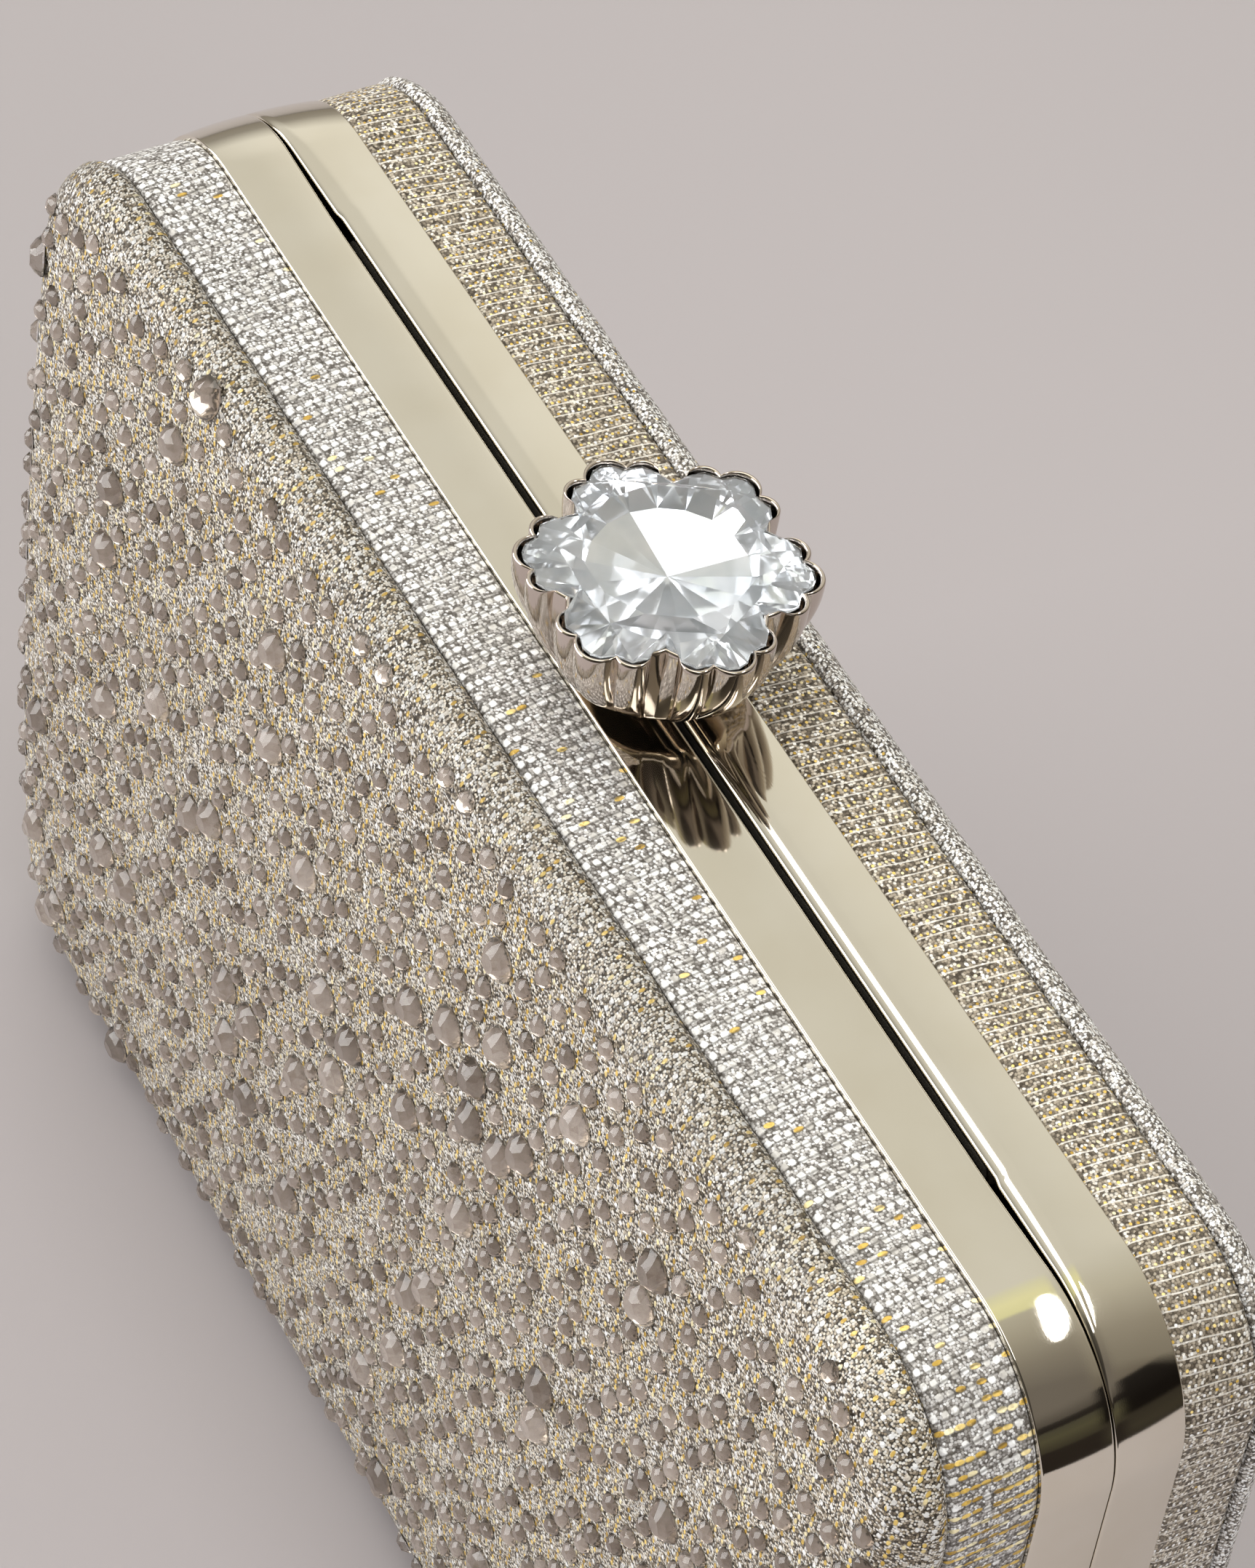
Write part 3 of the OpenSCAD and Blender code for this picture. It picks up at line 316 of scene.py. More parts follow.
    # Painted shade, with dust, in the seams, and painted shade on the front panel's roll and the front sides' near end:
    # a value on the cloth darkens its colour
    dust_and_shade = add(tree, "Attribute", attribute_name="dust_and_shade")
    dust_and_shade_share = add(tree, "Math", {0: (dust_and_shade, "Fac"), 1: 0.4}, operation="MULTIPLY")
    # Each loop leans its own way, so that it flashes by itself
    tilt = add(tree, "VectorMath", {0: (grains, "Color"), 1: (0.5, 0.5, 0.5)}, operation="SUBTRACT")
    lean = add(tree, "VectorMath", {0: tilt, 1: (0.8, 0.8, 0.8), 2: (add(tree, "NewGeometry"), "Normal")},
               operation="MULTIPLY_ADD")
    feed(shader, {
        "Base Color": add(tree, "Mix", {"Factor": dust_and_shade_share, "A": threaded, "B": linear("#3B342C")}, data_type="RGBA"),
        "Normal": add(tree, "Bump", {"Height": raised, "Strength": 0.5, "Distance": 0.0001,
                                     "Normal": add(tree, "VectorMath", {0: lean}, operation="NORMALIZE")})})
    return made


def toned(name, stops, detail, drift, **uniform):
    """Stuff of the flat-back crystals: a tone for each facet or crystal, which a cloud shifts by up to the drift."""
    made, tree, shader = material(name, **uniform)
    cloud = add(tree, "TexNoise", {"Vector": (add(tree, "TexCoord"), "Object"), "Scale": 900.0, "Detail": detail})
    tone = add(tree, "Attribute", attribute_name="tone")
    mixed = add(tree, "Math", {0: cloud, 1: drift, 2: (tone, "Fac")}, operation="MULTIPLY_ADD")
    feed(shader, {"Base Color": add(tree, "ValToRGB", {"Fac": mixed}, stops)})
    return made


def clouded(name, codes, scale, grain=None, detail=5.0, spread=0.6, **uniform):
    """Even stuff whose tone drifts between two codes. Detail is the cloud's number of layers, and spread the weight of
    each against the one before. A grain is a bump of the same pattern: its strength and its depth in metres."""
    made, tree, shader = material(name, **uniform)
    cloud = add(tree, "TexNoise", {"Vector": (add(tree, "TexCoord"), "Object"), "Scale": scale, "Detail": detail,
                                   "Roughness": spread})
    feed(shader, {"Base Color": add(tree, "ValToRGB", {"Fac": cloud}, [(0.3, codes[0]), (0.7, codes[1])])})
    if grain:
        feed(shader, {"Normal": add(tree, "Bump", {"Height": cloud, "Strength": grain[0], "Distance": grain[1]})})
    return made


def satin(name):
    """Champagne satin: long floats of thread with a soft sheen across the weave."""
    made, tree, shader = material(name, Roughness=0.45, Sheen_Weight=0.35, Sheen_Roughness=0.4, Specular_IOR_Level=0.45)
    cloth = add(tree, "UVMap", uv_map="weave")
    # Threads of 0.15 mm are drawn 0.35 mm wide, because finer ones don't show
    thread_at = add(tree, "VectorMath", {0: cloth, 1: (2.8, 0.5, 1)}, operation="MULTIPLY")
    threads = add(tree, "TexNoise", {"Vector": thread_at, "Scale": 1.0, "Detail": 3.0}, noise_dimensions="2D")
    # A large cloud paints light and shade of shallow folds into the colour
    painted_fold_shade = add(tree, "TexNoise", {"Vector": cloth, "Scale": 0.05, "Detail": 2.0}, noise_dimensions="2D")
    half = add(tree, "Math", {0: painted_fold_shade, 1: 0.5}, operation="MULTIPLY")
    both = add(tree, "Math", {0: threads, 1: 0.5, 2: half}, operation="MULTIPLY_ADD")
    feed(shader, {
        "Base Color": add(tree, "ValToRGB", {"Fac": both}, [(0.3, "#A89B86"), (0.5, "#CBBFA9"), (0.7, "#E2D9C6")]),
        "Normal": add(tree, "Bump", {"Height": threads, "Strength": 0.25, "Distance": 0.00008})})
    return made


# Pale gold plate on brass bands, buffed to a mirror
champagne = plated("champagne_plated_brass", "#ECE6DA", "#E7E0D2", 0.045, 0.05)
# Pale rose gold plate on the cast flower cup, polished in a barrel, so a little softer
rose = plated("pale_rose_plated_brass", "#DCD1C8", "#D0C4BA", 0.07, 0.1)
# Thin gold plate on turned and pressed fittings, left as it leaves the tool
stem_plate = plated("plated_brass_fittings", "#DDD2B4", "#CFC4A6", 0.12, 0.2)

# Tones of the knits. Loose is how far a stitch strays on the lattice, dash a gold stitch's half axes in millimetres
# The palest stops of the gold, ground and silver ramps are painted glints of the metal yarn, over its own tones
GOLD_YARN = [(0.0, "#B39040"), (0.3, "#DDB758"), (0.65, "#FFDF86"), (1.0, "#FFF6D0")]
SILVER = {"loose": 0.16, "dash": (0.26, 0.52), "present": 0.92, "furrow": 0.65, "gap": "#453F38", "outline": 0.8,
          "ground": [(0.0, "#66615D"), (0.35, "#A4A09D"), (0.7, "#D4D1CF"), (1.0, "#FFFFFF")],
          "silver": [(0.0, "#C6C2BD"), (0.3, "#EAE8E5"), (0.6, "#FFFFFF")]}
DUSKY = {"loose": 0.2, "dash": (0.16, 0.15), "present": 0.97, "furrow": 0.0, "gap": "#3F372D", "outline": 0.8,
         "ground": [(0.0, "#4B4238"), (0.35, "#8A7F70"), (0.7, "#B9AD9B"), (1.0, "#FAF5EC")],
         "silver": [(0.0, "#C9BFB0"), (0.5, "#FFFFFF")]}
FACE = {"loose": 0.5, "dash": (0.19, 0.33), "present": 0.9, "furrow": 0.0, "gap": "#1E1914", "outline": 0.95,
        "ground": [(0.0, "#3A332B"), (0.3, "#938673"), (0.55, "#E0D4C0"), (0.75, "#FFFCF6")],
        "silver": [(0.0, "#DCD2C4"), (0.5, "#FFFFFF")]}
ROLL = {"loose": 0.8, "dash": (0.15, 0.15), "present": 0.7, "furrow": 0.0, "gap": "#332D27", "outline": 0.85,
        "ground": [(0.0, "#4A433C"), (0.3, "#8A837B"), (0.6, "#C9C3BB"), (0.85, "#FFFFFF")],
        "silver": [(0.0, "#D9D4CD"), (0.5, "#FFFFFF")]}
# Bright silver knit with plump stitches in rows, and gold ones among them at the near corner
front_wrap_cloth = lurex("lurex_knit_front_sides", (1.46, 1.04), (0.37, 0.34), 0.28, 0.0, SILVER, 0.15)
# Dusky knit with small gold stitches and a white thread beside each column
rear_wrap_cloth = lurex("lurex_knit_rear_sides", (1.46, 0.68), (0.17, 0.14), 0.3, 0.75, DUSKY, 0.2)
# Open gold and silver knit over dark ground, under the crystals
front_cloth = lurex("lurex_knit_front_panel", (1.46, 0.95), (0.22, 0.27), 0.25, 0.0, FACE, 0.22)
# Fine silver knit without clear rows
rear_cloth = lurex("lurex_knit_rear_panel", (0.6, 0.55), (0.17, 0.15), 0.24, 0.0, ROLL, 0.2)
# Smoky cut glass of the flat-back crystals: clear, faintly brown, with polished facets
smoky = toned("smoky_cut_crystal", [(0.0, "#C9BFB5"), (1.0, "#FFFFFF")], 1.0, 0.1,
              Transmission_Weight=1.0, Roughness=0.02, IOR=1.52)
# Foil painted on the back of the flat-back crystals: a grey-brown mirror lacquer
crystal_back = toned("crystal_back_foil", [(0.25, "#958A7F"), (0.55, "#BDB2A7"), (0.9, "#E4DBD1")], 2.0, 0.25,
                     Metallic=0.8, Roughness=0.1)
# Lead glass, cut and polished: clear, with a faint cool tint
glass = clouded("clear_lead_crystal", ("#F4F7FA", "#FFFFFF"), 200.0, detail=2.0, spread=0.5,
                Transmission_Weight=1.0, Roughness=0.0, IOR=1.55)
# Silver foil behind the crystal: a mirror with slightly uneven tone
silver_foil = clouded("silver_foil", ("#E6EAEE", "#FDFDFF"), 350.0, detail=2.0, spread=0.5,
                      Metallic=0.7, Roughness=0.08)
lining = satin("champagne_satin")
# Black felt: matted fibre that swallows light
felt = clouded("black_wool_felt", ("#050505", "#161514"), 4000.0, (0.8, 0.0001), Roughness=0.95, Sheen_Weight=0.3)
# Moulded ABS, with a fine spark-eroded grain
moulded = clouded("moulded_black_abs", ("#2A2826", "#35322F"), 1500.0, (0.2, 0.00003), Roughness=0.5)
# Grey board, with pressed fibre flecks
board = clouded("grey_fibre_board", ("#776E60", "#948A78"), 900.0, (0.5, 0.00005), Roughness=0.9)
# Nickel-plated pressed steel, with a faint rolled grain
steel = clouded("nickel_plated_steel", ("#A9A59C", "#BFBBB2"), 500.0, (0.1, 0.00002), Metallic=1.0, Roughness=0.28)
# Hard-drawn spring wire, bright with draw marks
wire = clouded("spring_wire", ("#B4B4B0", "#CFCFCB"), 2500.0, (0.15, 0.00002), Metallic=1.0, Roughness=0.22)


# Camera at the photograph's place

# The point aimed at, the camera's own axes, its distance in metres and its shift in pixels of the photograph
target = Vector((0, PARTING_Y + 4.547, HEIGHT)) / 1000
right = Vector((0.4712, 0.8760, 0.1028)).normalized()
back = Vector((0.5557, -0.3854, 0.7367)).normalized()
up = back.cross(right).normalized()
away, photo_high = 0.5411, 2156
lens = bpy.data.cameras.new("view")
lens.lens = 134.65
lens.sensor_width = 36
lens.shift_x, lens.shift_y = -80.08 / photo_high, -186.37 / photo_high
lens.clip_start = 0.01
camera = bpy.data.objects.new("view", lens)
camera.matrix_world = Matrix.Translation(target + back * away) @ Matrix((right, up, back)).transposed().to_4x4()
bpy.context.scene.collection.objects.link(camera)
bpy.context.scene.camera = camera


# Frame bands

def band(name, side, roll, drop, fade_from, fade_to):
    """Mirror-polished band: a closed section carried round the case. Its face is crowned by a parabola and leans
    outwards, its outer edge is eased by a quarter circle, and its inner edge rolls down by a quarter ellipse whose
    width and drop fade in the corners. The slot's half width tapers to the hairline, and below the hinge axis the
    inner edge leans back to leave the stop groove."""
    width, crown, eased = FRAME_W[side], 0.15, 0.25
    faded_roll, faded_drop, shoulder_half, rear_narrowing = 0.25, 0.22, 0.7, 0.22
    shoulder = SLOT_RUN + np.linspace(-0.8, 0.8, 9)
    hinge_end = HALF_ROUND - HINGE_HALF
    extra = np.concatenate([shoulder, np.linspace(SLOT_RUN + 1, TOP_RUN, 12), hinge_end + np.array([-0.02, 0.02])])
    s = np.unique(np.round(np.concatenate([stations(3.0, 0.45), extra, -extra]), 6))
    _, z, _, nz = round_the_case(s)
    a = np.abs(s)
    taper = np.clip((a - SLOT_RUN) / (SLOT_END - SLOT_RUN), 0, 1)
    past_shoulder = ease((a - SLOT_RUN + shoulder_half) / (2 * shoulder_half))
    narrow = SLOT_HALF - (rear_narrowing * past_shoulder if side == REAR else 0)
    gap = narrow + (HAIRLINE_HALF - narrow) * taper
    fade = ease((a - fade_from) / (fade_to - fade_from))
    roll_w, roll_d = roll + (faded_roll - roll) * fade, drop + (faded_drop - drop) * fade
    at_hinge = a > hinge_end
    flange_n = np.where(at_hinge, WEB_N + 0.01, FLANGE_N)
    flange_d = np.where(at_hinge, FLANGE_D_AT_HINGE, FLANGE_D)
    ones = np.ones_like(s)

    def face_n(d):
        middle = (width + 0.3) / 2
        return crown * ((d - middle) / middle) ** 2 + LEAN[side] * d / width

    q = np.linspace(0, np.pi / 2, 7)[:, None]
    edge_n = face_n(width - eased) + eased * (1 - np.sin(q)) * ones
    edge_d = width - eased * (1 - np.cos(q)) * ones
    flat_d = (width - eased) + (gap + roll_w - width + eased) * np.linspace(0, 1, 16)[1:-1, None]
    q = np.linspace(0, np.pi / 2, 14)[:, None]
    rolled_d = gap + roll_w * (1 - np.sin(q))
    rolled_n = face_n(gap + roll_w) + roll_d * (1 - np.cos(q))
    wall_n = rolled_n[-1] + (flange_n - rolled_n[-1]) * np.linspace(0, 1, 6)[1:, None]
    inner_n = np.stack([flange_n, WEB_N * ones, WEB_N * ones, WEB_N * ones])
    inner_d = np.stack([flange_d, flange_d, (flange_d + width) / 2, width * ones])
    n = np.vstack([edge_n, face_n(flat_d), rolled_n, wall_n, inner_n])
    d = np.vstack([edge_d, flat_d, rolled_d, gap * np.ones_like(wall_n), inner_d])
    high = z + n * nz
    groove = np.maximum(HINGE_Z - high, 0) * np.tan(np.pi / 6)
    knuckle_room = np.sqrt(np.maximum(KNUCKLE_ROOM_R ** 2 - (high - HINGE_Z) ** 2, 0)) * at_hinge
    made = ring_tube(name, s, placed(s, n, np.maximum(np.maximum(d, groove), knuckle_room), side), sharp=50)
    made.data.materials.append(champagne)
    return made


front_band = band("front_band", FRONT, 0.45, 0.45, 70.0, 88.0)
rear_band = band("rear_band", REAR, 2.0, 0.7, 66.0, 91.0)


# Cloth round the sides


def side_cloth(name, side, cloth):
    """Cloth glued round the shell and turned over its face: outside it swells by the root of a sine and tucks in along
    the band and along the seam, as bell curves a third of a millimetre wide. The inside lies on the shell."""
    s = stations(1.8, 0.9)
    start, end = FRAME_W[side] + FIT, DEPTH[side]
    behind = end - 0.6
    t = np.linspace(0, 1, 30)[:, None]
    d = start + (end - start) * (0.5 - 0.5 * np.cos(np.pi * t)) * np.ones_like(s)
    wave = 0.05 * np.sin(s / 3.1) * np.sin(s / 11.7 + 1) * np.sin(np.pi * t)
    swell = CLOTH_N - 0.16 * np.sin(np.pi * t) ** 0.5 + wave
    n = swell + 0.12 * np.exp(-((d - start) / 0.25) ** 2) + 0.25 * np.exp(-((end - d) / 0.3) ** 2)
    turn_n = np.array([1.3, 4.0, 6.5, BOARD_INSET, BOARD_INSET, 6.5, 4.0, WEB_N, WEB_N, WEB_N])[:, None]
    turn_d = np.array([end, end, end, end, behind, behind, behind, behind, (start + end) / 2, start])[:, None]
    n = np.vstack([n, turn_n * np.ones_like(s)])
    d = np.vstack([d, turn_d * np.ones_like(s)])
    steps = np.hypot(np.diff(n, axis=0), np.diff(d, axis=0))
    path = np.cumsum(np.vstack([np.zeros((1, len(s))), steps]), 0)
    # Painted shade, with dust, along both edges of the cloth, where it tucks in
    dust_and_shade = np.exp(-((end - d) / 0.3) ** 2) + 0.5 * np.exp(-((d - start) / 0.15) ** 2)
    # Gold stitches gather at the front's near corner, and thin out towards the rear's near side
    if side == FRONT:
        # Painted shade on the front's whole near end, past its corner
        dust_and_shade = dust_and_shade + 0.4 * ease((s - 100) / 10)
        gold = (0.05 + 0.95 * np.exp(-((s - 100) / 15) ** 2)) * np.ones_like(d)
    else:
        gold = (0.92 - 0.87 * ease((s - 76) / 18)) * np.ones_like(d)
    made = ring_tube(name, s, placed(s, n, d, side), path, {"dust_and_shade": np.clip(dust_and_shade, 0, 1), "gold": gold}, sharp=60)
    made.data.materials.append(cloth)
    return made


front_sides = side_cloth("front_side_cloth", FRONT, front_wrap_cloth)
rear_sides = side_cloth("rear_side_cloth", REAR, rear_wrap_cloth)


# Padded panels

def crown_at(x, z, side):
    """Crown of a panel: a cushion whose height falls with a power of the distance along X and along Z."""
    power = 4.5 if side == FRONT else 2.4
    return CROWN[side] * (1 - np.abs(x / HALF_W) ** power) * (1 - np.abs((z - MIDDLE_Z) / MIDDLE_Z) ** 2.4)


def edge_of(x, z, side):
    """Thickness of a panel's edge: fuller by up to 1.8 mm half way down the front's short sides."""
    fuller = ease((np.abs(x) - 55) / 20) * np.sin(np.pi * np.clip(z / HEIGHT, 0, 1)) ** 0.8
    return EDGE_T[side] + (1.8 * fuller if side == FRONT else 0)


def inset_of(x, z):
    """Distance inside the outline, less the panel's inset."""
    qx, qz = np.abs(x) - TOP_RUN, np.abs(z - MIDDLE_Z) - SIDE_RUN / 2
    return CORNER - np.hypot(np.maximum(qx, 0), np.maximum(qz, 0)) - np.minimum(np.maximum(qx, qz), 0) - PANEL_INSET


def pad_height(x, z, side):
    """Height of a panel's face over its back: the crown and a quarter-round edge."""
    edge = edge_of(x, z, side)
    u = np.clip(inset_of(x, z) / edge, 0, 1)
    return edge * np.sqrt(1 - (1 - u) ** 2) + crown_at(x, z, side)


def rings_inwards(s, n, steps):
    """Places x and z of rings at distances n in from the outer line, and of further rings that shrink from the last
    one towards the middle of the case."""
    x, z, nx, nz = round_the_case(s)
    px, pz = x + n * nx, z + n * nz
    shrink = np.linspace(1, 0, steps)[1:-1, None]
    return np.vstack([px, px[-1] * shrink]), np.vstack([pz, MIDDLE_Z + (pz[-1] - MIDDLE_Z) * shrink])


def pad(name, side, cloth):
    """Padded panel of rings round a middle: a back with a recess for its board, a foot tucked in at the seam, a
    quarter-round edge with shallow puckers, and a crowned face. The weave's coordinates follow the cloth over the
    edge: a ring lies further out by the length that its rise adds."""
    s = stations(1.7, 0.8)
    edge = EDGE_T[side]
    back_d = DEPTH[side] + FIT
    recess, foot_top, face_n = 1.0, 1.3, 13.6
    foot_n = np.array([BOARD_INSET, BOARD_INSET, 5.0, 1.25, 1.02, 0.78, 0.56, 0.42])
    foot_h = np.array([recess, 0, 0, 0, 0.06, 0.25, 0.6, 0.95])
    turn = np.linspace(np.arcsin(foot_top / edge), np.pi / 2, 18)
    edge_n = PANEL_INSET + edge * (1 - np.cos(turn))
    flat_n = np.linspace(edge + PANEL_INSET, face_n, 9)[1:]
    n = np.concatenate([foot_n, edge_n, flat_n])[:, None]
    px, pz = rings_inwards(s, n, 40)
    h = pad_height(px, pz, side)
    k, rounded = len(foot_n), len(foot_n) + len(turn)
    low = np.clip(foot_h / foot_top, 0, 1)[:, None]
    h[:k] = foot_h[:, None] + crown_at(px[:k], pz[:k], side) * low * (foot_n < 2)[:, None]
    rim = np.exp(-((inset_of(px, pz) - 1.2) / 1.6) ** 2)
    rim[:3] = 0
    pucker = 0.06 * np.sin(s / 2.9 + 1.5 * np.sin(s / 7.1)) * np.sin(s / 13.0 + 2)
    h = h + pucker * rim
    points = np.stack([px, PARTING_Y + side * (back_d + h), pz], -1) / 1000
    step = np.hypot(np.diff(px, axis=0), np.diff(pz, axis=0))
    rise = np.hypot(step, np.diff(h, axis=0))
    inward = np.sign(np.diff(n[:rounded + 1], axis=0))
    extra = np.zeros_like(px)
    extra[:rounded] = np.cumsum((rise[:rounded] - inward * step[:rounded])[::-1], 0)[::-1]
    _, _, nx, nz = round_the_case(s)
    weave = np.stack([px - nx * extra, pz - nz * extra], -1)
    # Painted shade, with dust, round the panel's foot at the seam
    dust_and_shade = np.exp(-(np.maximum(h, 0) / 0.25) ** 2) * (inset_of(px, pz) < 3)
    gold = (0.8 if side == FRONT else 0.08) - 0.2 * ease((px / HALF_W + 0.2) / 1.2)
    if side == FRONT:
        # Painted shade on the roll over its edge: the knit is darker there and has less gold, but less so at the near
        # corner
        painted_roll_shade = (1 - ease((inset_of(px, pz) - 1.5) / 5)) * (1 - 0.6 * ease((px - 60) / 20))
        dust_and_shade, gold = np.maximum(dust_and_shade, 1.15 * painted_roll_shade), gold * (1 - 0.6 * painted_roll_shade)
    foot = [0, (PARTING_Y + side * (back_d + recess)) / 1000, MIDDLE_Z / 1000]
    tip = [0, (PARTING_Y + side * (back_d + edge + CROWN[side])) / 1000, MIDDLE_Z / 1000]
    made = ring_dome(name, points, foot, tip, weave, [[0, MIDDLE_Z]] * 2, {"dust_and_shade": dust_and_shade, "gold": gold}, sharp=75)
    made.data.materials.append(cloth)
    return made


front_pad = pad("front_padded_panel", FRONT, front_cloth)
rear_pad = pad("rear_padded_panel", REAR, rear_cloth)


# Crystals on the front

LARGE_R, SMALL_R, LARGE_SHARE = 2.25, (1.16, 1.3), 0.06


def scatter(seed, margin):
    """Places of the crystals: a shaken hexagonal grid, of which some are large, eased apart by pushing every pair that
    is closer than its two radii and a gap, and kept a margin inside the panel. Returns x, z and radius."""
    chance = np.random.default_rng(seed)
    pitch, gap = 4.72, 1.15
    row_pitch = pitch * 0.866
    rows, columns = int(HEIGHT / row_pitch), int(2 * HALF_W / pitch)
    j, i = np.meshgrid(np.arange(rows + 1), np.arange(columns + 1), indexing="ij")
    x = (i - columns / 2 + 0.5 * (j % 2)) * pitch
    z = MIDDLE_Z + (j - rows / 2) * row_pitch
    x, z = (v.ravel() + chance.uniform(-0.36, 0.36, v.size) * pitch for v in (x, z))
    radius = np.where(chance.random(x.size) < LARGE_SHARE, LARGE_R, chance.uniform(*SMALL_R, x.size))
    keep = (inset_of(x, z) > margin + radius * 0.4) & (chance.random(x.size) < 0.97)
    x, z, radius = x[keep], z[keep], radius[keep]
    far_from_itself = np.eye(len(x)) * 99
    for _ in range(40):
        dx, dz = x[:, None] - x, z[:, None] - z
        far = np.hypot(dx, dz) + far_from_itself
        push = np.maximum(radius[:, None] + radius + gap - far, 0) / far * 0.3
        x, z = x + (dx * push).sum(1), z + (dz * push).sum(1)
        outside = np.maximum(margin - inset_of(x, z), 0)
        at_end = np.abs(x) > TOP_RUN
        x, z = x - np.sign(x) * outside * at_end, z - np.sign(z - MIDDLE_Z) * outside * ~at_end
    return x, z, radius


def stones(name, x, z, radius, sides, seed):
    """Flat-back crystals: a foiled back, a girdle, two rows of crown facets and a small table, turned at random on the
    panel's slope. Each is a stack of rings of so many sides, with triangles between them."""
    chance = np.random.default_rng(seed)
    step, proud = 0.2, 0.04
    h = pad_height(x, z, FRONT)
    normal = np.stack([-(pad_height(x + step, z, FRONT) - h) / step, -np.ones_like(x),
                       -(pad_height(x, z + step, FRONT) - h) / step], 1)
    normal /= np.linalg.norm(normal, axis=1)[:, None]
    u = np.cross([0.0, 0.0, 1.0], normal)
    u /= np.linalg.norm(u, axis=1)[:, None]
    v = np.cross(normal, u)
    spin = chance.uniform(0, 2 * np.pi, len(x))
    # Rings: share of the radius, height as a share of the diameter, turn in sides
    rings = np.array([(1.0, 0.0, 0), (1.0, 0.04, 0), (0.76, 0.19, 0.5), (0.44, 0.31, 0)])
    share, rise, turn = (np.repeat(column, sides) for column in rings.T)
    angle = spin[:, None] + (np.tile(np.arange(sides), len(rings)) + turn) * 2 * np.pi / sides
    centre = np.stack([x, PARTING_Y - (DEPTH[FRONT] + FIT + h + proud), z], 1)
    reach = np.stack([np.cos(angle) * share, np.sin(angle) * share, np.broadcast_to(2 * rise, angle.shape)], -1)
    points = (centre[:, None] + radius[:, None, None] * reach @ np.stack([u, v, normal], 1)) / 1000
    k = np.arange(sides)
    levels, half_turned = len(rings) - 1, 1
    template = []
    for level in range(levels):
        a, b = level * sides + k, level * sides + (k + 1) % sides
        c, d = a + sides, b + sides
        template += [(a, b, c), (b, d, c)] if level == half_turned else [(a, b, d), (a, d, c)]
    zero, last = np.zeros(sides - 2, int), levels * sides
    template += [(zero, k[2:], k[1:-1]), (zero + last, last + k[1:-1], last + k[2:])]
    template = np.concatenate([np.stack(corners, 1) for corners in template])
    faces = (template + len(share) * np.arange(len(x))[:, None, None]).reshape(-1, 3)
    wall_tone = chance.uniform(0.2, 1.0, (len(x), 2 * last))
    back_tone = chance.uniform(0.2, 0.75, (len(x), 1))
    tone = np.concatenate([wall_tone, np.repeat(back_tone, sides - 2, 1), np.full((len(x), sides - 2), 0.7)], 1)
    made = add_mesh(name, points, [faces], face_values={"tone": tone}, sharp=0)
    made.data.materials.append(smoky)
    made.data.materials.append(crystal_back)
    finish = np.repeat([0, 1, 0], [2 * last, sides - 2, sides - 2])
    made.data.polygons.foreach_set("material_index", np.tile(finish, len(x)).astype(np.int32))
    return made


stone_x, stone_z, stone_r = scatter(7, 2.1)
big = stone_r == LARGE_R
large_stones = stones("large_cut_stones", stone_x[big], stone_z[big], stone_r[big], 12, 21)
small_stones = stones("small_cut_stones", stone_x[~big], stone_z[~big], stone_r[~big], 8, 22)


# Flower clasp

PETALS, PETAL_R, NOTCH_R = 6, 14.3, 10.6
BEZEL_BASE_R, BEZEL_LOW, BEZEL_HIGH, BEZEL_FLOOR = 9.9, 123.3, 133.8, 126.1
BEAD_R, BEAD_H = 0.29, 0.35
FLOWER_Y = PARTING_Y + 1.35


def flower_r(a):
    """Reach of the flower at angle a: the furthest of a petal's body circle, its tip scallop and two side scallops."""
    sector = 2 * np.pi / PETALS
    b = a - sector * np.round(a / sector)
    body_c, tip_c, side_c, side_r = PETAL_R * 0.455, PETAL_R * 0.845, PETAL_R * 0.815, PETAL_R * 0.118
    body_r = np.hypot(NOTCH_R * np.cos(sector / 2) - body_c, NOTCH_R * np.sin(sector / 2))
    side_turn = np.radians(15.6)
    circles = [(body_c, body_r, 0), (tip_c, PETAL_R - tip_c, 0),
               (side_c, side_r, side_turn), (side_c, side_r, -side_turn)]
    # Square of half the chord that the ray cuts from each circle, below 0 where it misses
    chords = [r * r - (c * np.sin(b - turn)) ** 2 for c, r, turn in circles]
    return np.max([np.where(chord < 0, 0, c * np.cos(b - turn) + np.sqrt(np.maximum(chord, 0)))
                   for chord, (c, _, turn) in zip(chords, circles)], 0)


def about_the_flower(r, angles, high):
    """Points in metres at radius r and angles about the flower's axis, at a height."""
    return np.stack(np.broadcast_arrays(r * np.cos(angles), FLOWER_Y + r * np.sin(angles), high), -1) / 1000


def flower_rings(angles, rows):
    """Rings of the flower's outline: each row is an inset, a blend from the round base to the outline, and a height."""
    inset, blend, high = np.array(rows, float).T[..., None]
    return about_the_flower(BEZEL_BASE_R + (flower_r(angles) - BEZEL_BASE_R) * blend - inset, angles, high)


def round_rings(angles, rows):
    """Plain round rings: each row is a radius and a height."""
    r, high = np.array(rows, float).T[..., None]
    return about_the_flower(r, angles, high)


def flare(t):
    """Share of the way from the round base to the flower's outline, quick at first."""
    return 1 - (1 - t) ** 2.2


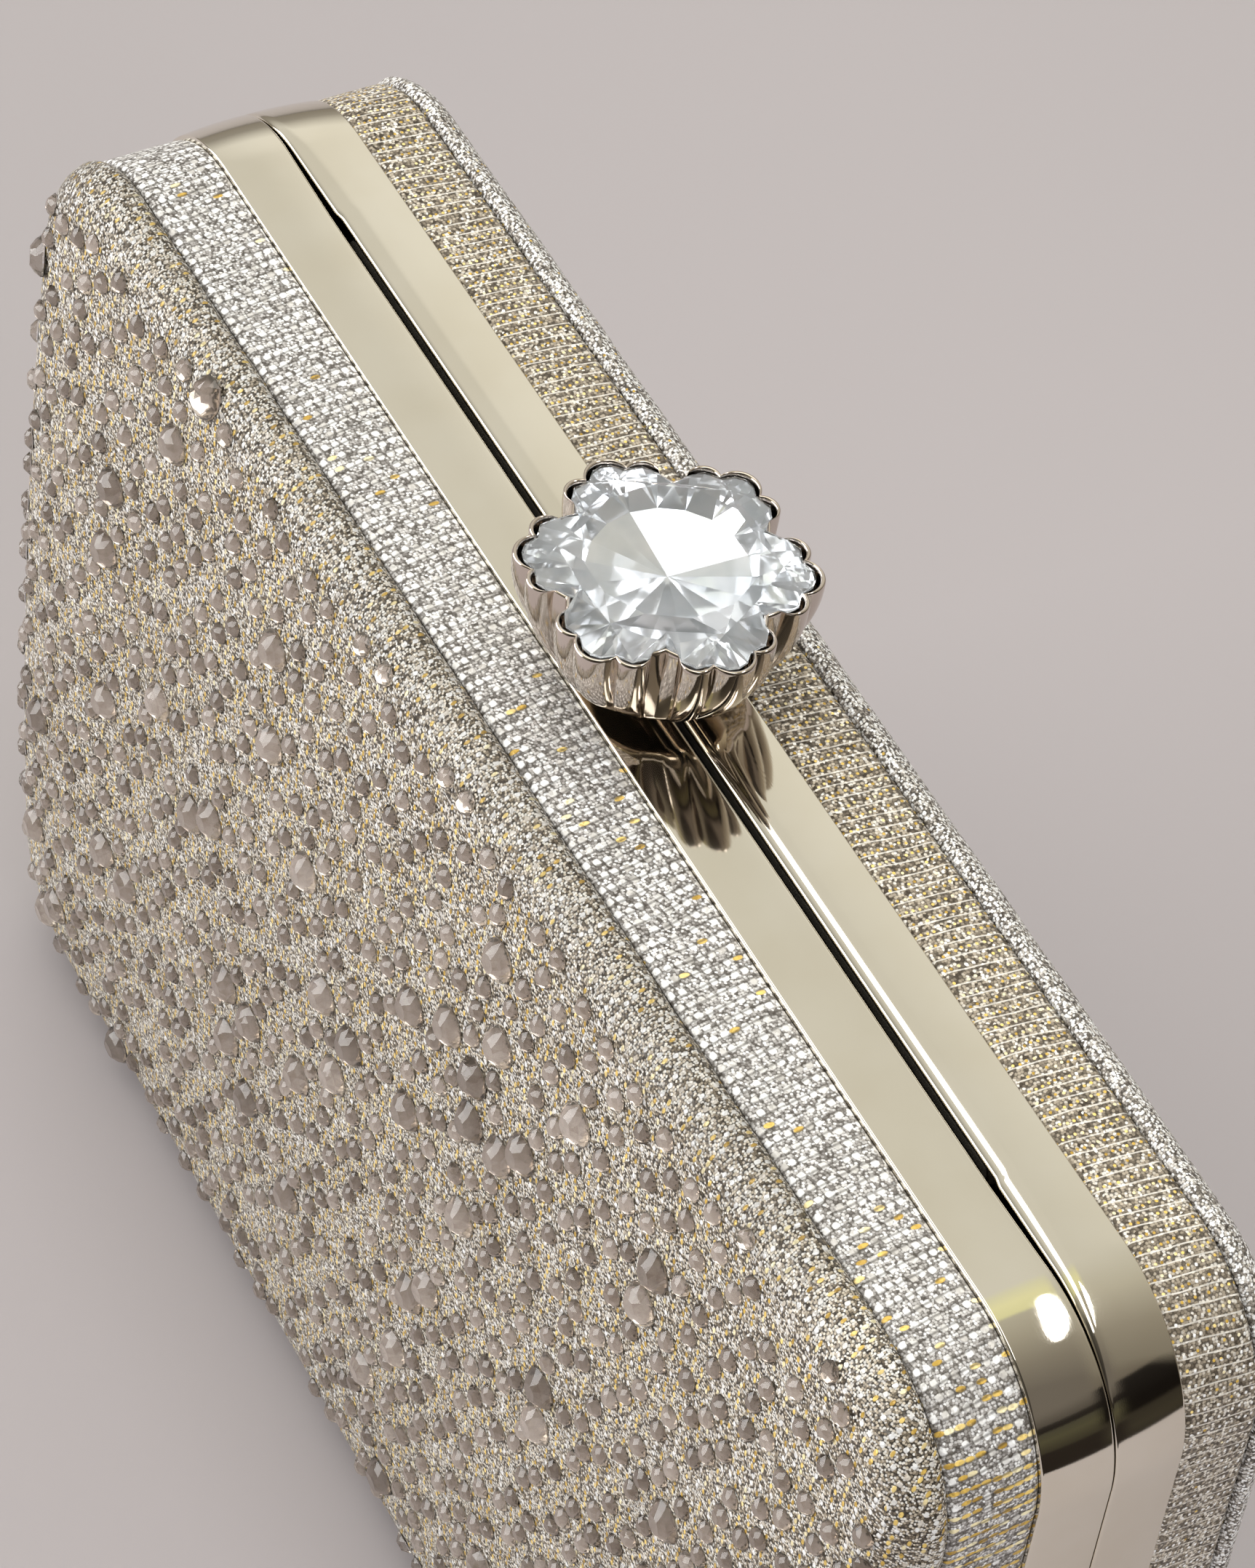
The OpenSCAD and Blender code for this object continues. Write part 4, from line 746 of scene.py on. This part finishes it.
angles = np.linspace(0, 2 * np.pi, 480, endpoint=False)
under = [(3.0, BEZEL_LOW), (8.8, BEZEL_LOW), (9.5, BEZEL_LOW + 0.06)]
wall = [(0, flare(t), BEZEL_LOW + 10.05 * t) for t in np.linspace(0.05, 1, 22)]
bead = [(BEAD_R * (1 - np.cos(q)) - 0.05 * np.sin(q / 2), 1, BEZEL_HIGH - BEAD_H + BEAD_H * np.sin(q))
        for q in np.linspace(0.05, np.pi, 12)[1:]]
recess = [(0.6, 1, 133.2), (0.64, 1, 132.6), (0.8, 1, 131.9), (1.8, 0.95, 131.1)]
inner = [(8.9, 129.6), (6.5, 128.0), (3.0, 126.6)]
cup = [round_rings(angles, under), flower_rings(angles, wall + bead + recess), round_rings(angles, inner)]
bezel = ring_dome("flower_bezel_cup", np.concatenate(cup), about_the_flower(0, 0, BEZEL_LOW),
                  about_the_flower(0, 0, BEZEL_FLOOR), sharp=48)
bezel.data.materials.append(rose)

# The crystal's outline runs straight between the crests and the valleys of the scallops
shares = np.array([0, 0.14, 0.285, 0.42, 0.55, 0.75, 1])
half_petal = np.concatenate([-shares[-2:0:-1], shares])
cut = (np.arange(PETALS)[:, None] * 2 + half_petal).ravel() * np.pi / PETALS
GIRDLE_INSET = 0.9


def facet_join(low, high, first_low, first_high):
    """Triangles between two rings with different counts. Each side of either ring has one, in order of the angles of
    the sides' middles, and its third corner is the place that the other ring has reached by then."""
    middles = [(a + np.append(a[1:], a[0] + 2 * np.pi)) / 2 for a in (low, high)]
    on_low = np.argsort(np.concatenate(middles), kind="stable") < len(low)
    at_low, at_high = np.cumsum(on_low) - on_low, np.cumsum(~on_low) - ~on_low
    onwards = np.where(on_low, first_low + (at_low + 1) % len(low), first_high + (at_high + 1) % len(high))
    return np.stack([first_low + at_low % len(low), onwards, first_high + at_high % len(high)], 1)


def faceted(name, rings, foot, tip, finish):
    """Cut solid of rings (angles, radii, heights) from low to high, with a point or a flat at either end."""
    points = np.concatenate([about_the_flower(r, turn, high) for turn, r, high in rings]
                            + [about_the_flower(0, 0, middle)[None] for middle in (foot, tip)])
    counts = [len(turn) for turn, _, _ in rings]
    first = np.cumsum(counts) - counts
    lowest, highest = np.arange(counts[0]), first[-1] + np.arange(counts[-1])
    faces = [facet_join(rings[k][0], rings[k + 1][0], first[k], first[k + 1]) for k in range(len(rings) - 1)]
    faces.append(np.stack([np.roll(lowest, -1), lowest, np.full(counts[0], len(points) - 2)], 1))
    faces.append(np.stack([np.full(counts[-1], len(points) - 1), highest, np.roll(highest, -1)], 1))
    made = add_mesh(name, points, faces, sharp=0)
    made.data.materials.append(finish)
    return made


outline_r = flower_r(cut) - GIRDLE_INSET
twelve, eighteen = np.pi / 12 * (2 * np.arange(12) + 1), np.pi / 9 * np.arange(18)
star, star_r = np.pi / 6 * np.arange(12), np.where(np.arange(12) % 2 == 0, 10.3, 9.2)
PAVILION_R, TABLE_R, TABLE_HIGH, CULET_HIGH = 7.6, 8.3, 135.6, 129.0
crystal = faceted("flower_cut_crystal", [
    (eighteen, PAVILION_R, 130.95), (cut, outline_r - 0.25, 133.2), (cut, outline_r, 133.4), (cut, outline_r, 133.7),
    (star, star_r, 134.85), (twelve, TABLE_R, TABLE_HIGH)], CULET_HIGH, TABLE_HIGH, glass)
# The foil is laid on the glass of the back facets, which come first, and of the culet's fan
crystal.data.materials.append(silver_foil)
backs, culet, table = len(eighteen) + len(cut), len(eighteen), len(twelve)
clear = len(crystal.data.polygons) - backs - culet - table
finish = np.repeat([1, 0, 1, 0], [backs, clear, culet, table])
crystal.data.polygons.foreach_set("material_index", finish.astype(np.int32))
foil_cup = faceted("crystal_foil", [
    (eighteen, PAVILION_R, 130.65), (cut, outline_r - 0.3, 132.85), (cut, outline_r - 0.2, 133.1),
    (eighteen, PAVILION_R, 130.85)], 127.5, 127.8, silver_foil)


# Inside of the trays

def tray_lining(name, side, window_half, window_d):
    """Satin glued into a tray: a wall that dips round the clasp's window, a soft bend into the floor, and a floor that
    rises over its padding. Rings run from the hidden side over the mouth to the middle of the floor. The weave's
    coordinates follow the satin up the wall."""
    mouth_d, hem, bend_r, floor_t, padding, window_ease = 1.32, 0.2, 1.6, 0.8, 0.4, 1.2
    s = stations(2.0, 1.0)
    extra = window_half + np.linspace(-window_ease, window_ease, 9)
    s = np.unique(np.round(np.concatenate([s, extra, -extra]), 6))
    a, ones = np.abs(s), np.ones_like(s)
    floor = TRAY_FLOOR[side]
    bend_top = floor - floor_t - bend_r
    dip = 1 - ease((a - window_half + window_ease / 2) / window_ease)
    mouth = mouth_d + (window_d + 0.1 - mouth_d) * dip + 0.3 * (a > HALF_ROUND - HINGE_HALF - 1) + hem
    hidden_n = np.full((3, 1), LINING_N) * ones
    hidden_d = np.stack([np.full_like(s, floor), (floor + mouth - hem) / 2, mouth])
    q = np.linspace(-np.pi / 2, np.pi / 2, 7)[:, None]
    lip_n = (LINING_N + INSIDE_N) / 2 + (INSIDE_N - LINING_N) / 2 * np.sin(q) * ones
    lip_d = mouth - hem * np.cos(q)
    t = np.linspace(0, 1, 10)[1:-1, None]
    wall_n = INSIDE_N + 0.05 * np.sin(s / 4.3) * np.sin(s / 15.0) * np.sin(np.pi * t)
    wall_d = mouth + (bend_top - mouth) * t
    q = np.linspace(0, np.pi / 2, 8)[:, None]
    bend_n = INSIDE_N + bend_r * (1 - np.cos(q)) * ones
    bend_d = bend_top + bend_r * np.sin(q) * ones
    floor_n = np.linspace(INSIDE_N + bend_r, 13.5, 6)[1:, None] * ones
    px, pz = rings_inwards(s, np.vstack([hidden_n, lip_n, wall_n, bend_n, floor_n]), 24)
    d = np.vstack([hidden_d, lip_d, wall_d, bend_d])
    d = np.vstack([d, np.full((len(px) - len(d), len(s)), floor - floor_t)])
    shown = len(hidden_n) + len(lip_n)
    d[shown:] -= padding * ease((inset_of(px, pz)[shown:] - 6) / 20)
    points = np.stack([px, PARTING_Y + side * d, pz], -1) / 1000
    step = np.hypot(np.diff(px, axis=0), np.diff(pz, axis=0))
    rise = np.hypot(step, np.diff(d, axis=0))
    added = np.zeros_like(px)
    added[:-1] = np.cumsum((rise - step)[::-1], 0)[::-1]
    _, _, nx, nz = round_the_case(s)
    weave = np.stack([px - nx * added, pz - nz * added], -1)
    foot, tip = ([0, (PARTING_Y + side * d_middle) / 1000, MIDDLE_Z / 1000] for d_middle in (floor, floor - 1.2))
    made = ring_dome(name, points, foot, tip, weave, [[0, MIDDLE_Z]] * 2, sharp=75)
    made.data.materials.append(lining)
    return made


front_tray = tray_lining("front_tray_lining", FRONT, 6.4, 7.2)
rear_tray = tray_lining("rear_tray_lining", REAR, 10.1, 7.4)


def slip_pocket():
    """Satin slip pocket glued to the rear tray: a flat back and a front that is flat at its seams, bellies by up to
    half a millimetre towards its mouth and has a raised hem along it. Its outline is a superellipse. Rings run from the
    middle of the back out to the edge, and in again to the middle of the front."""
    half, low, high, power = 38.0, 22.0, 78.0, 0.22
    back_y, cloth_t, hem_w = PARTING_Y + 11.82, 0.75, 3.4
    centre_z = (low + high) / 2

    def front_y(x, z):
        belly = 0.5 * (1 - np.abs(x / half) ** 3) * np.clip((z - low) / (high - low), 0, 1)
        return back_y - cloth_t - belly - 0.28 * ease((z - high + hem_w) / 0.5)

    turn = np.linspace(0, 2 * np.pi, 160, endpoint=False)
    edge_x, edge_z = (np.sign(c) * np.abs(c) ** power for c in (np.cos(turn), np.sin(turn)))
    out = np.concatenate([np.linspace(0, 1, 12)[1:], np.linspace(1, 0, 12)[:-1]])[:, None]
    x, z = edge_x * half * out, centre_z + edge_z * (high - low) / 2 * out
    in_front = (np.arange(len(out)) >= len(out) // 2)[:, None]
    points = np.stack([x, np.where(in_front, front_y(x, z), back_y), z], -1) / 1000
    foot, tip = (np.array([0.0, y, centre_z]) / 1000 for y in (back_y, front_y(0.0, centre_z)))
    made = ring_dome("slip_pocket_cloth", points, foot, tip, np.stack([x, z], -1), [[0.0, centre_z]] * 2, sharp=70)
    made.data.materials.append(lining)
    return made


pocket = slip_pocket()


def felt_strip():
    """Felt in the slot: a flat strip whose upper edge is slightly wavy, as cut felt is. Rings run along it."""
    run, low, high, y_middle, half_t = 62.0, HEIGHT - 4.8, HEIGHT - 2.2, PARTING_Y + 0.05, 0.36
    x = np.linspace(-run, run, 125)
    section = np.array([(-1, -1), (0, -1.04), (1, -1), (1, 0), (1, 1), (0, 1.12), (-1, 1), (-1, 0)])
    across, up_it = section[:, 0:1], section[:, 1:2]
    wave = 0.06 * np.sin(x * 1.7) + 0.05 * np.sin(x * 0.63 + 1)
    y = y_middle + across * half_t * np.ones_like(x)
    z = (low + high) / 2 + up_it * (high - low) / 2 + wave * (up_it > 0.5)
    rings = np.stack([np.broadcast_to(x, y.shape), y, z], -1).transpose(1, 0, 2) / 1000
    foot, tip = ([end / 1000, y_middle / 1000, (low + high) / 2000] for end in (-run, run))
    made = ring_dome("slot_felt", rings, foot, tip, sharp=60)
    made.data.materials.append(felt)
    return made


strip = felt_strip()


def coil_spring():
    """Return spring: a round wire wound as a helix between the ends of its place. Returns the piece, its foot and the
    share of its height that it keeps when the button is pressed. Lengths are metres."""
    low, high = (np.array(corner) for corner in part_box("return_spring"))
    wire_r, outer_r, turns, travel = 0.00025, 0.00175, 4.5, 0.0015
    run = np.linspace(0, 1, 109)
    wound_r = outer_r - wire_r
    a = 2 * np.pi * turns * run
    middle = (low + high) / 2
    length = high[2] - low[2] - 2 * wire_r
    out = np.stack([np.cos(a), np.sin(a), np.zeros_like(a)], 1)
    along = np.stack([-np.sin(a), np.cos(a), np.full_like(a, length / (2 * np.pi * turns * wound_r))], 1)
    along /= np.linalg.norm(along, axis=1)[:, None]
    core = wound_r * out + [middle[0], middle[1], low[2] + wire_r]
    core[:, 2] += length * run
    b = np.linspace(0, 2 * np.pi, 8, endpoint=False)[:, None]
    points = core[:, None] + wire_r * (np.cos(b) * out[:, None] + np.sin(b) * np.cross(out, along)[:, None])
    made = ring_dome("return_spring_coil", points, core[0], core[-1], sharp=60)
    made.data.materials.append(wire)
    return made, [middle[0], middle[1], low[2]], 1 - travel / (high[2] - low[2])


spring, spring_foot, pressed_share = coil_spring()


# What each piece rides on, the slot of its finish, and the nodes that it stands for

PIECES = [
    (front_band, "front_half", "frame", ["front_frame"]),
    (rear_band, "rear_half", "frame", ["rear_frame"]),
    (front_sides, "front_half", "fabric", ["front_side_wrap"]),
    (rear_sides, "rear_half", "fabric", ["rear_side_wrap"]),
    (front_pad, "front_half", "padded_panel", ["front_panel"]),
    (rear_pad, "rear_half", "padded_panel", ["rear_panel"]),
    (large_stones, "front_half", "crystals", ["large_crystals"]),
    (small_stones, "front_half", "crystals", ["small_crystals"]),
    (bezel, "clasp_button", "bezel", ["flower_bezel"]),
    (crystal, "clasp_button", "flower_glass", ["flower_crystal"]),
    (foil_cup, "clasp_button", "seat", ["crystal_seat"]),
    (front_tray, "front_half", "lining", ["front_lining_wall", "front_lining_board"]),
    (rear_tray, "rear_half", "lining", ["rear_lining_wall", "rear_lining_board"]),
    (pocket, "rear_half", "lining", ["slip_pocket"]),
    (strip, "front_half", "felt", ["edge_felt"]),
    (spring, "rear_half", "hardware", ["return_spring"]),
]
for piece, body, slot, stood_for in PIECES:
    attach(piece, body)
    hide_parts(*stood_for)
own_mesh(spring)

# Finishes of the pieces that the frame carries over
FINISHES = {
    moulded: ["front_shell", "rear_shell"],
    board: ["front_panel_board", "rear_panel_board"],
    stem_plate: ["front_hinge_leaf", "rear_hinge_leaf", "clasp_bush", "clasp_stem"],
    steel: ["catch_plate", "catch_rivets", "front_hinge_rivets", "rear_hinge_rivets", "hinge_pin", "clasp_bracket",
            "clasp_rivets", "latch_pivot_pin", "latch_hook", "stem_clip"],
}
for finish, names in FINISHES.items():
    for name in names:
        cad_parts[name].data.materials.clear()
        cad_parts[name].data.materials.append(finish)


# Floor and light

# Matt painted board, greige
floor_paint = clouded("greige_floor_paint", ("#A29C9E", "#A49EA0"), 3.0, Roughness=0.8)
floor_mesh = bpy.data.meshes.new("floor")
floor_mesh.from_pydata([(-4, -4, 0), (0.45, -4, 0), (0.45, 4, 0), (-4, 4, 0)], [], [(0, 1, 2, 3)])
floor_mesh.materials.append(floor_paint)
ground = bpy.data.objects.new("floor", floor_mesh)
bpy.context.scene.collection.objects.link(ground)

world = bpy.data.worlds.new("studio")
bpy.context.scene.world = world
world.use_nodes = True
sky = world.node_tree
direction = add(sky, "TexCoord"), "Generated"
along = add(sky, "SeparateXYZ", {"Vector": direction})
# Brightness: a tall window behind on the left, a darker room in front, and the dark of the lens
to_window = add(sky, "VectorMath", {0: direction, 1: (-0.72, 0.55, 0.42)}, operation="DOT_PRODUCT")
window = add(sky, "MapRange", {"Value": (to_window, "Value"), "From Min": 0.9, "From Max": 0.995,
                               "To Min": 0.87, "To Max": 1.1}, interpolation_type="SMOOTHSTEP")
in_front = add(sky, "MapRange", {"Value": (along, "Y"), "From Min": -0.15, "From Max": -0.65,
                                 "To Min": 1.0, "To Max": 0.5}, interpolation_type="SMOOTHSTEP")
to_lens = add(sky, "VectorMath", {0: direction, 1: (0.5557, -0.3854, 0.7367)}, operation="DOT_PRODUCT")
round_lens = add(sky, "MapRange", {"Value": (to_lens, "Value"), "From Min": 0.86, "From Max": 0.95,
                                   "To Min": 1.0, "To Max": 0.3}, interpolation_type="SMOOTHSTEP")
shaded = add(sky, "Math", {0: in_front, 1: round_lens}, operation="MULTIPLY")
level = add(sky, "Math", {0: window, 1: shaded}, operation="MULTIPLY")
# Colour: overhead a pale screen with a yellow edge that darkens to the right, and at the right the room by height
low_down = add(sky, "ValToRGB", {"Fac": (along, "Z")}, [(0.0, "#A8A29C"), (0.15, "#B4B0AC"), (0.4, "#FFFFFF")])
by_x = add(sky, "Math", {0: (along, "X"), 1: 0.5, 2: 0.5}, operation="MULTIPLY_ADD")
by_z = add(sky, "Math", {0: (along, "Z"), 1: 0.5, 2: 0.5}, operation="MULTIPLY_ADD")
overhead_near = add(sky, "ValToRGB", {"Fac": by_x}, [
    (0.0, "#ECE9DE"), (0.3, "#ECE9DC"), (0.335, "#F3F1CE"), (0.39, "#FFFCC8"), (0.455, "#F6F3BE"), (0.47, "#C9C4B2"),
    (0.58, "#B9B3A2"), (0.74, "#968F82"), (0.86, "#7C756C")])
overhead_far = add(sky, "ValToRGB", {"Fac": by_x}, [
    (0.0, "#ECE9DE"), (0.3, "#E9E6D9"), (0.5, "#D2CDBC"), (0.7, "#A8A192"), (0.86, "#8E8779")])
level_near = add(sky, "ValToRGB", {"Fac": by_z}, [
    (0.36, "#4B4540"), (0.48, "#4E4842"), (0.49, "#6C6959"), (0.56, "#87856A"), (0.605, "#6A6757"), (0.612, "#37322E"),
    (0.64, "#403B36"), (0.648, "#6A645C"), (0.72, "#7C756C")])
level_far = add(sky, "ValToRGB", {"Fac": by_z}, [
    (0.36, "#4A463F"), (0.42, "#6A6658"), (0.5, "#5F5B50"), (0.52, "#2B2724"), (0.7, "#262320"), (0.71, "#7A7266"),
    (0.8, "#8E8779")])
behind = add(sky, "MapRange", {"Value": (along, "Y"), "From Min": 0.41, "From Max": 0.45, "To Min": 0.0, "To Max": 1.0})
beside = add(sky, "MapRange", {"Value": (along, "X"), "From Min": 0.68, "From Max": 0.74, "To Min": 0.0, "To Max": 1.0})
overhead = add(sky, "Mix", {"Factor": behind, "A": overhead_near, "B": overhead_far}, data_type="RGBA")
sideways = add(sky, "Mix", {"Factor": behind, "A": level_near, "B": level_far}, data_type="RGBA")
room = add(sky, "Mix", {"Factor": beside, "A": overhead, "B": sideways}, data_type="RGBA")
tint = add(sky, "Mix", {"Factor": 1.0, "A": low_down, "B": room}, data_type="RGBA", blend_type="MULTIPLY")
# Past the floor's edge the camera sees a plain greige wall
to_camera = add(sky, "LightPath"), "Is Camera Ray"
feed(sky.nodes["Background"], {
    "Color": add(sky, "Mix", {"Factor": to_camera, "A": tint, "B": linear("#C6BEBA")}, data_type="RGBA"),
    "Strength": add(sky, "Mix", {"Factor": to_camera, "A": level, "B": 1.0}, data_type="FLOAT")})


def softbox(name, aim, direction, distance, size, radiance, shape="RECTANGLE", seen=True):
    """Lamp of a given brightness that faces a point from a direction, metres throughout. A lamp that isn't seen
    lights dull surfaces and stays out of the mirrors."""
    lamp = bpy.data.lights.new(name, "AREA")
    lamp.shape = shape
    lamp.size, lamp.size_y = size
    lamp.energy = radiance * np.pi * size[0] * size[1]
    made = bpy.data.objects.new(name, lamp)
    away = Vector(direction).normalized()
    across = (Vector((1, 0, 0)) - away * away.x).normalized()
    made.location = Vector(aim) + away * distance
    made.rotation_mode = "QUATERNION"
    made.rotation_quaternion = Matrix((across, away.cross(across), away)).transposed().to_quaternion()
    made.visible_glossy = seen
    bpy.context.scene.collection.objects.link(made)


softbox("key_softbox", (0.078, 0.0, 0.115), (0.1, 0.385, 0.92), 0.8, (0.44, 0.085), 5.0, shape="ELLIPSE")
softbox("strip_softbox", (0.078, 0.0, 0.115), (-0.1, 0.0, 0.99), 0.8, (0.92, 0.2), 2.2)
softbox("front_softbox", (-0.03, 0.0, 0.03), (-0.55, -0.8, 0.36), 1.8, (1.9, 1.1), 5.1)
softbox("overhead_scrim", (0.0, 0.0, 0.06), (-0.25, -0.1, 0.96), 2.2, (3.0, 3.0), 1.2, seen=False)
softbox("right_scrim", (0.0, 0.0, 0.06), (0.85, -0.15, 0.42), 1.6, (1.0, 1.0), 4.4, seen=False)

bpy.context.scene.view_settings.view_transform = "Standard"
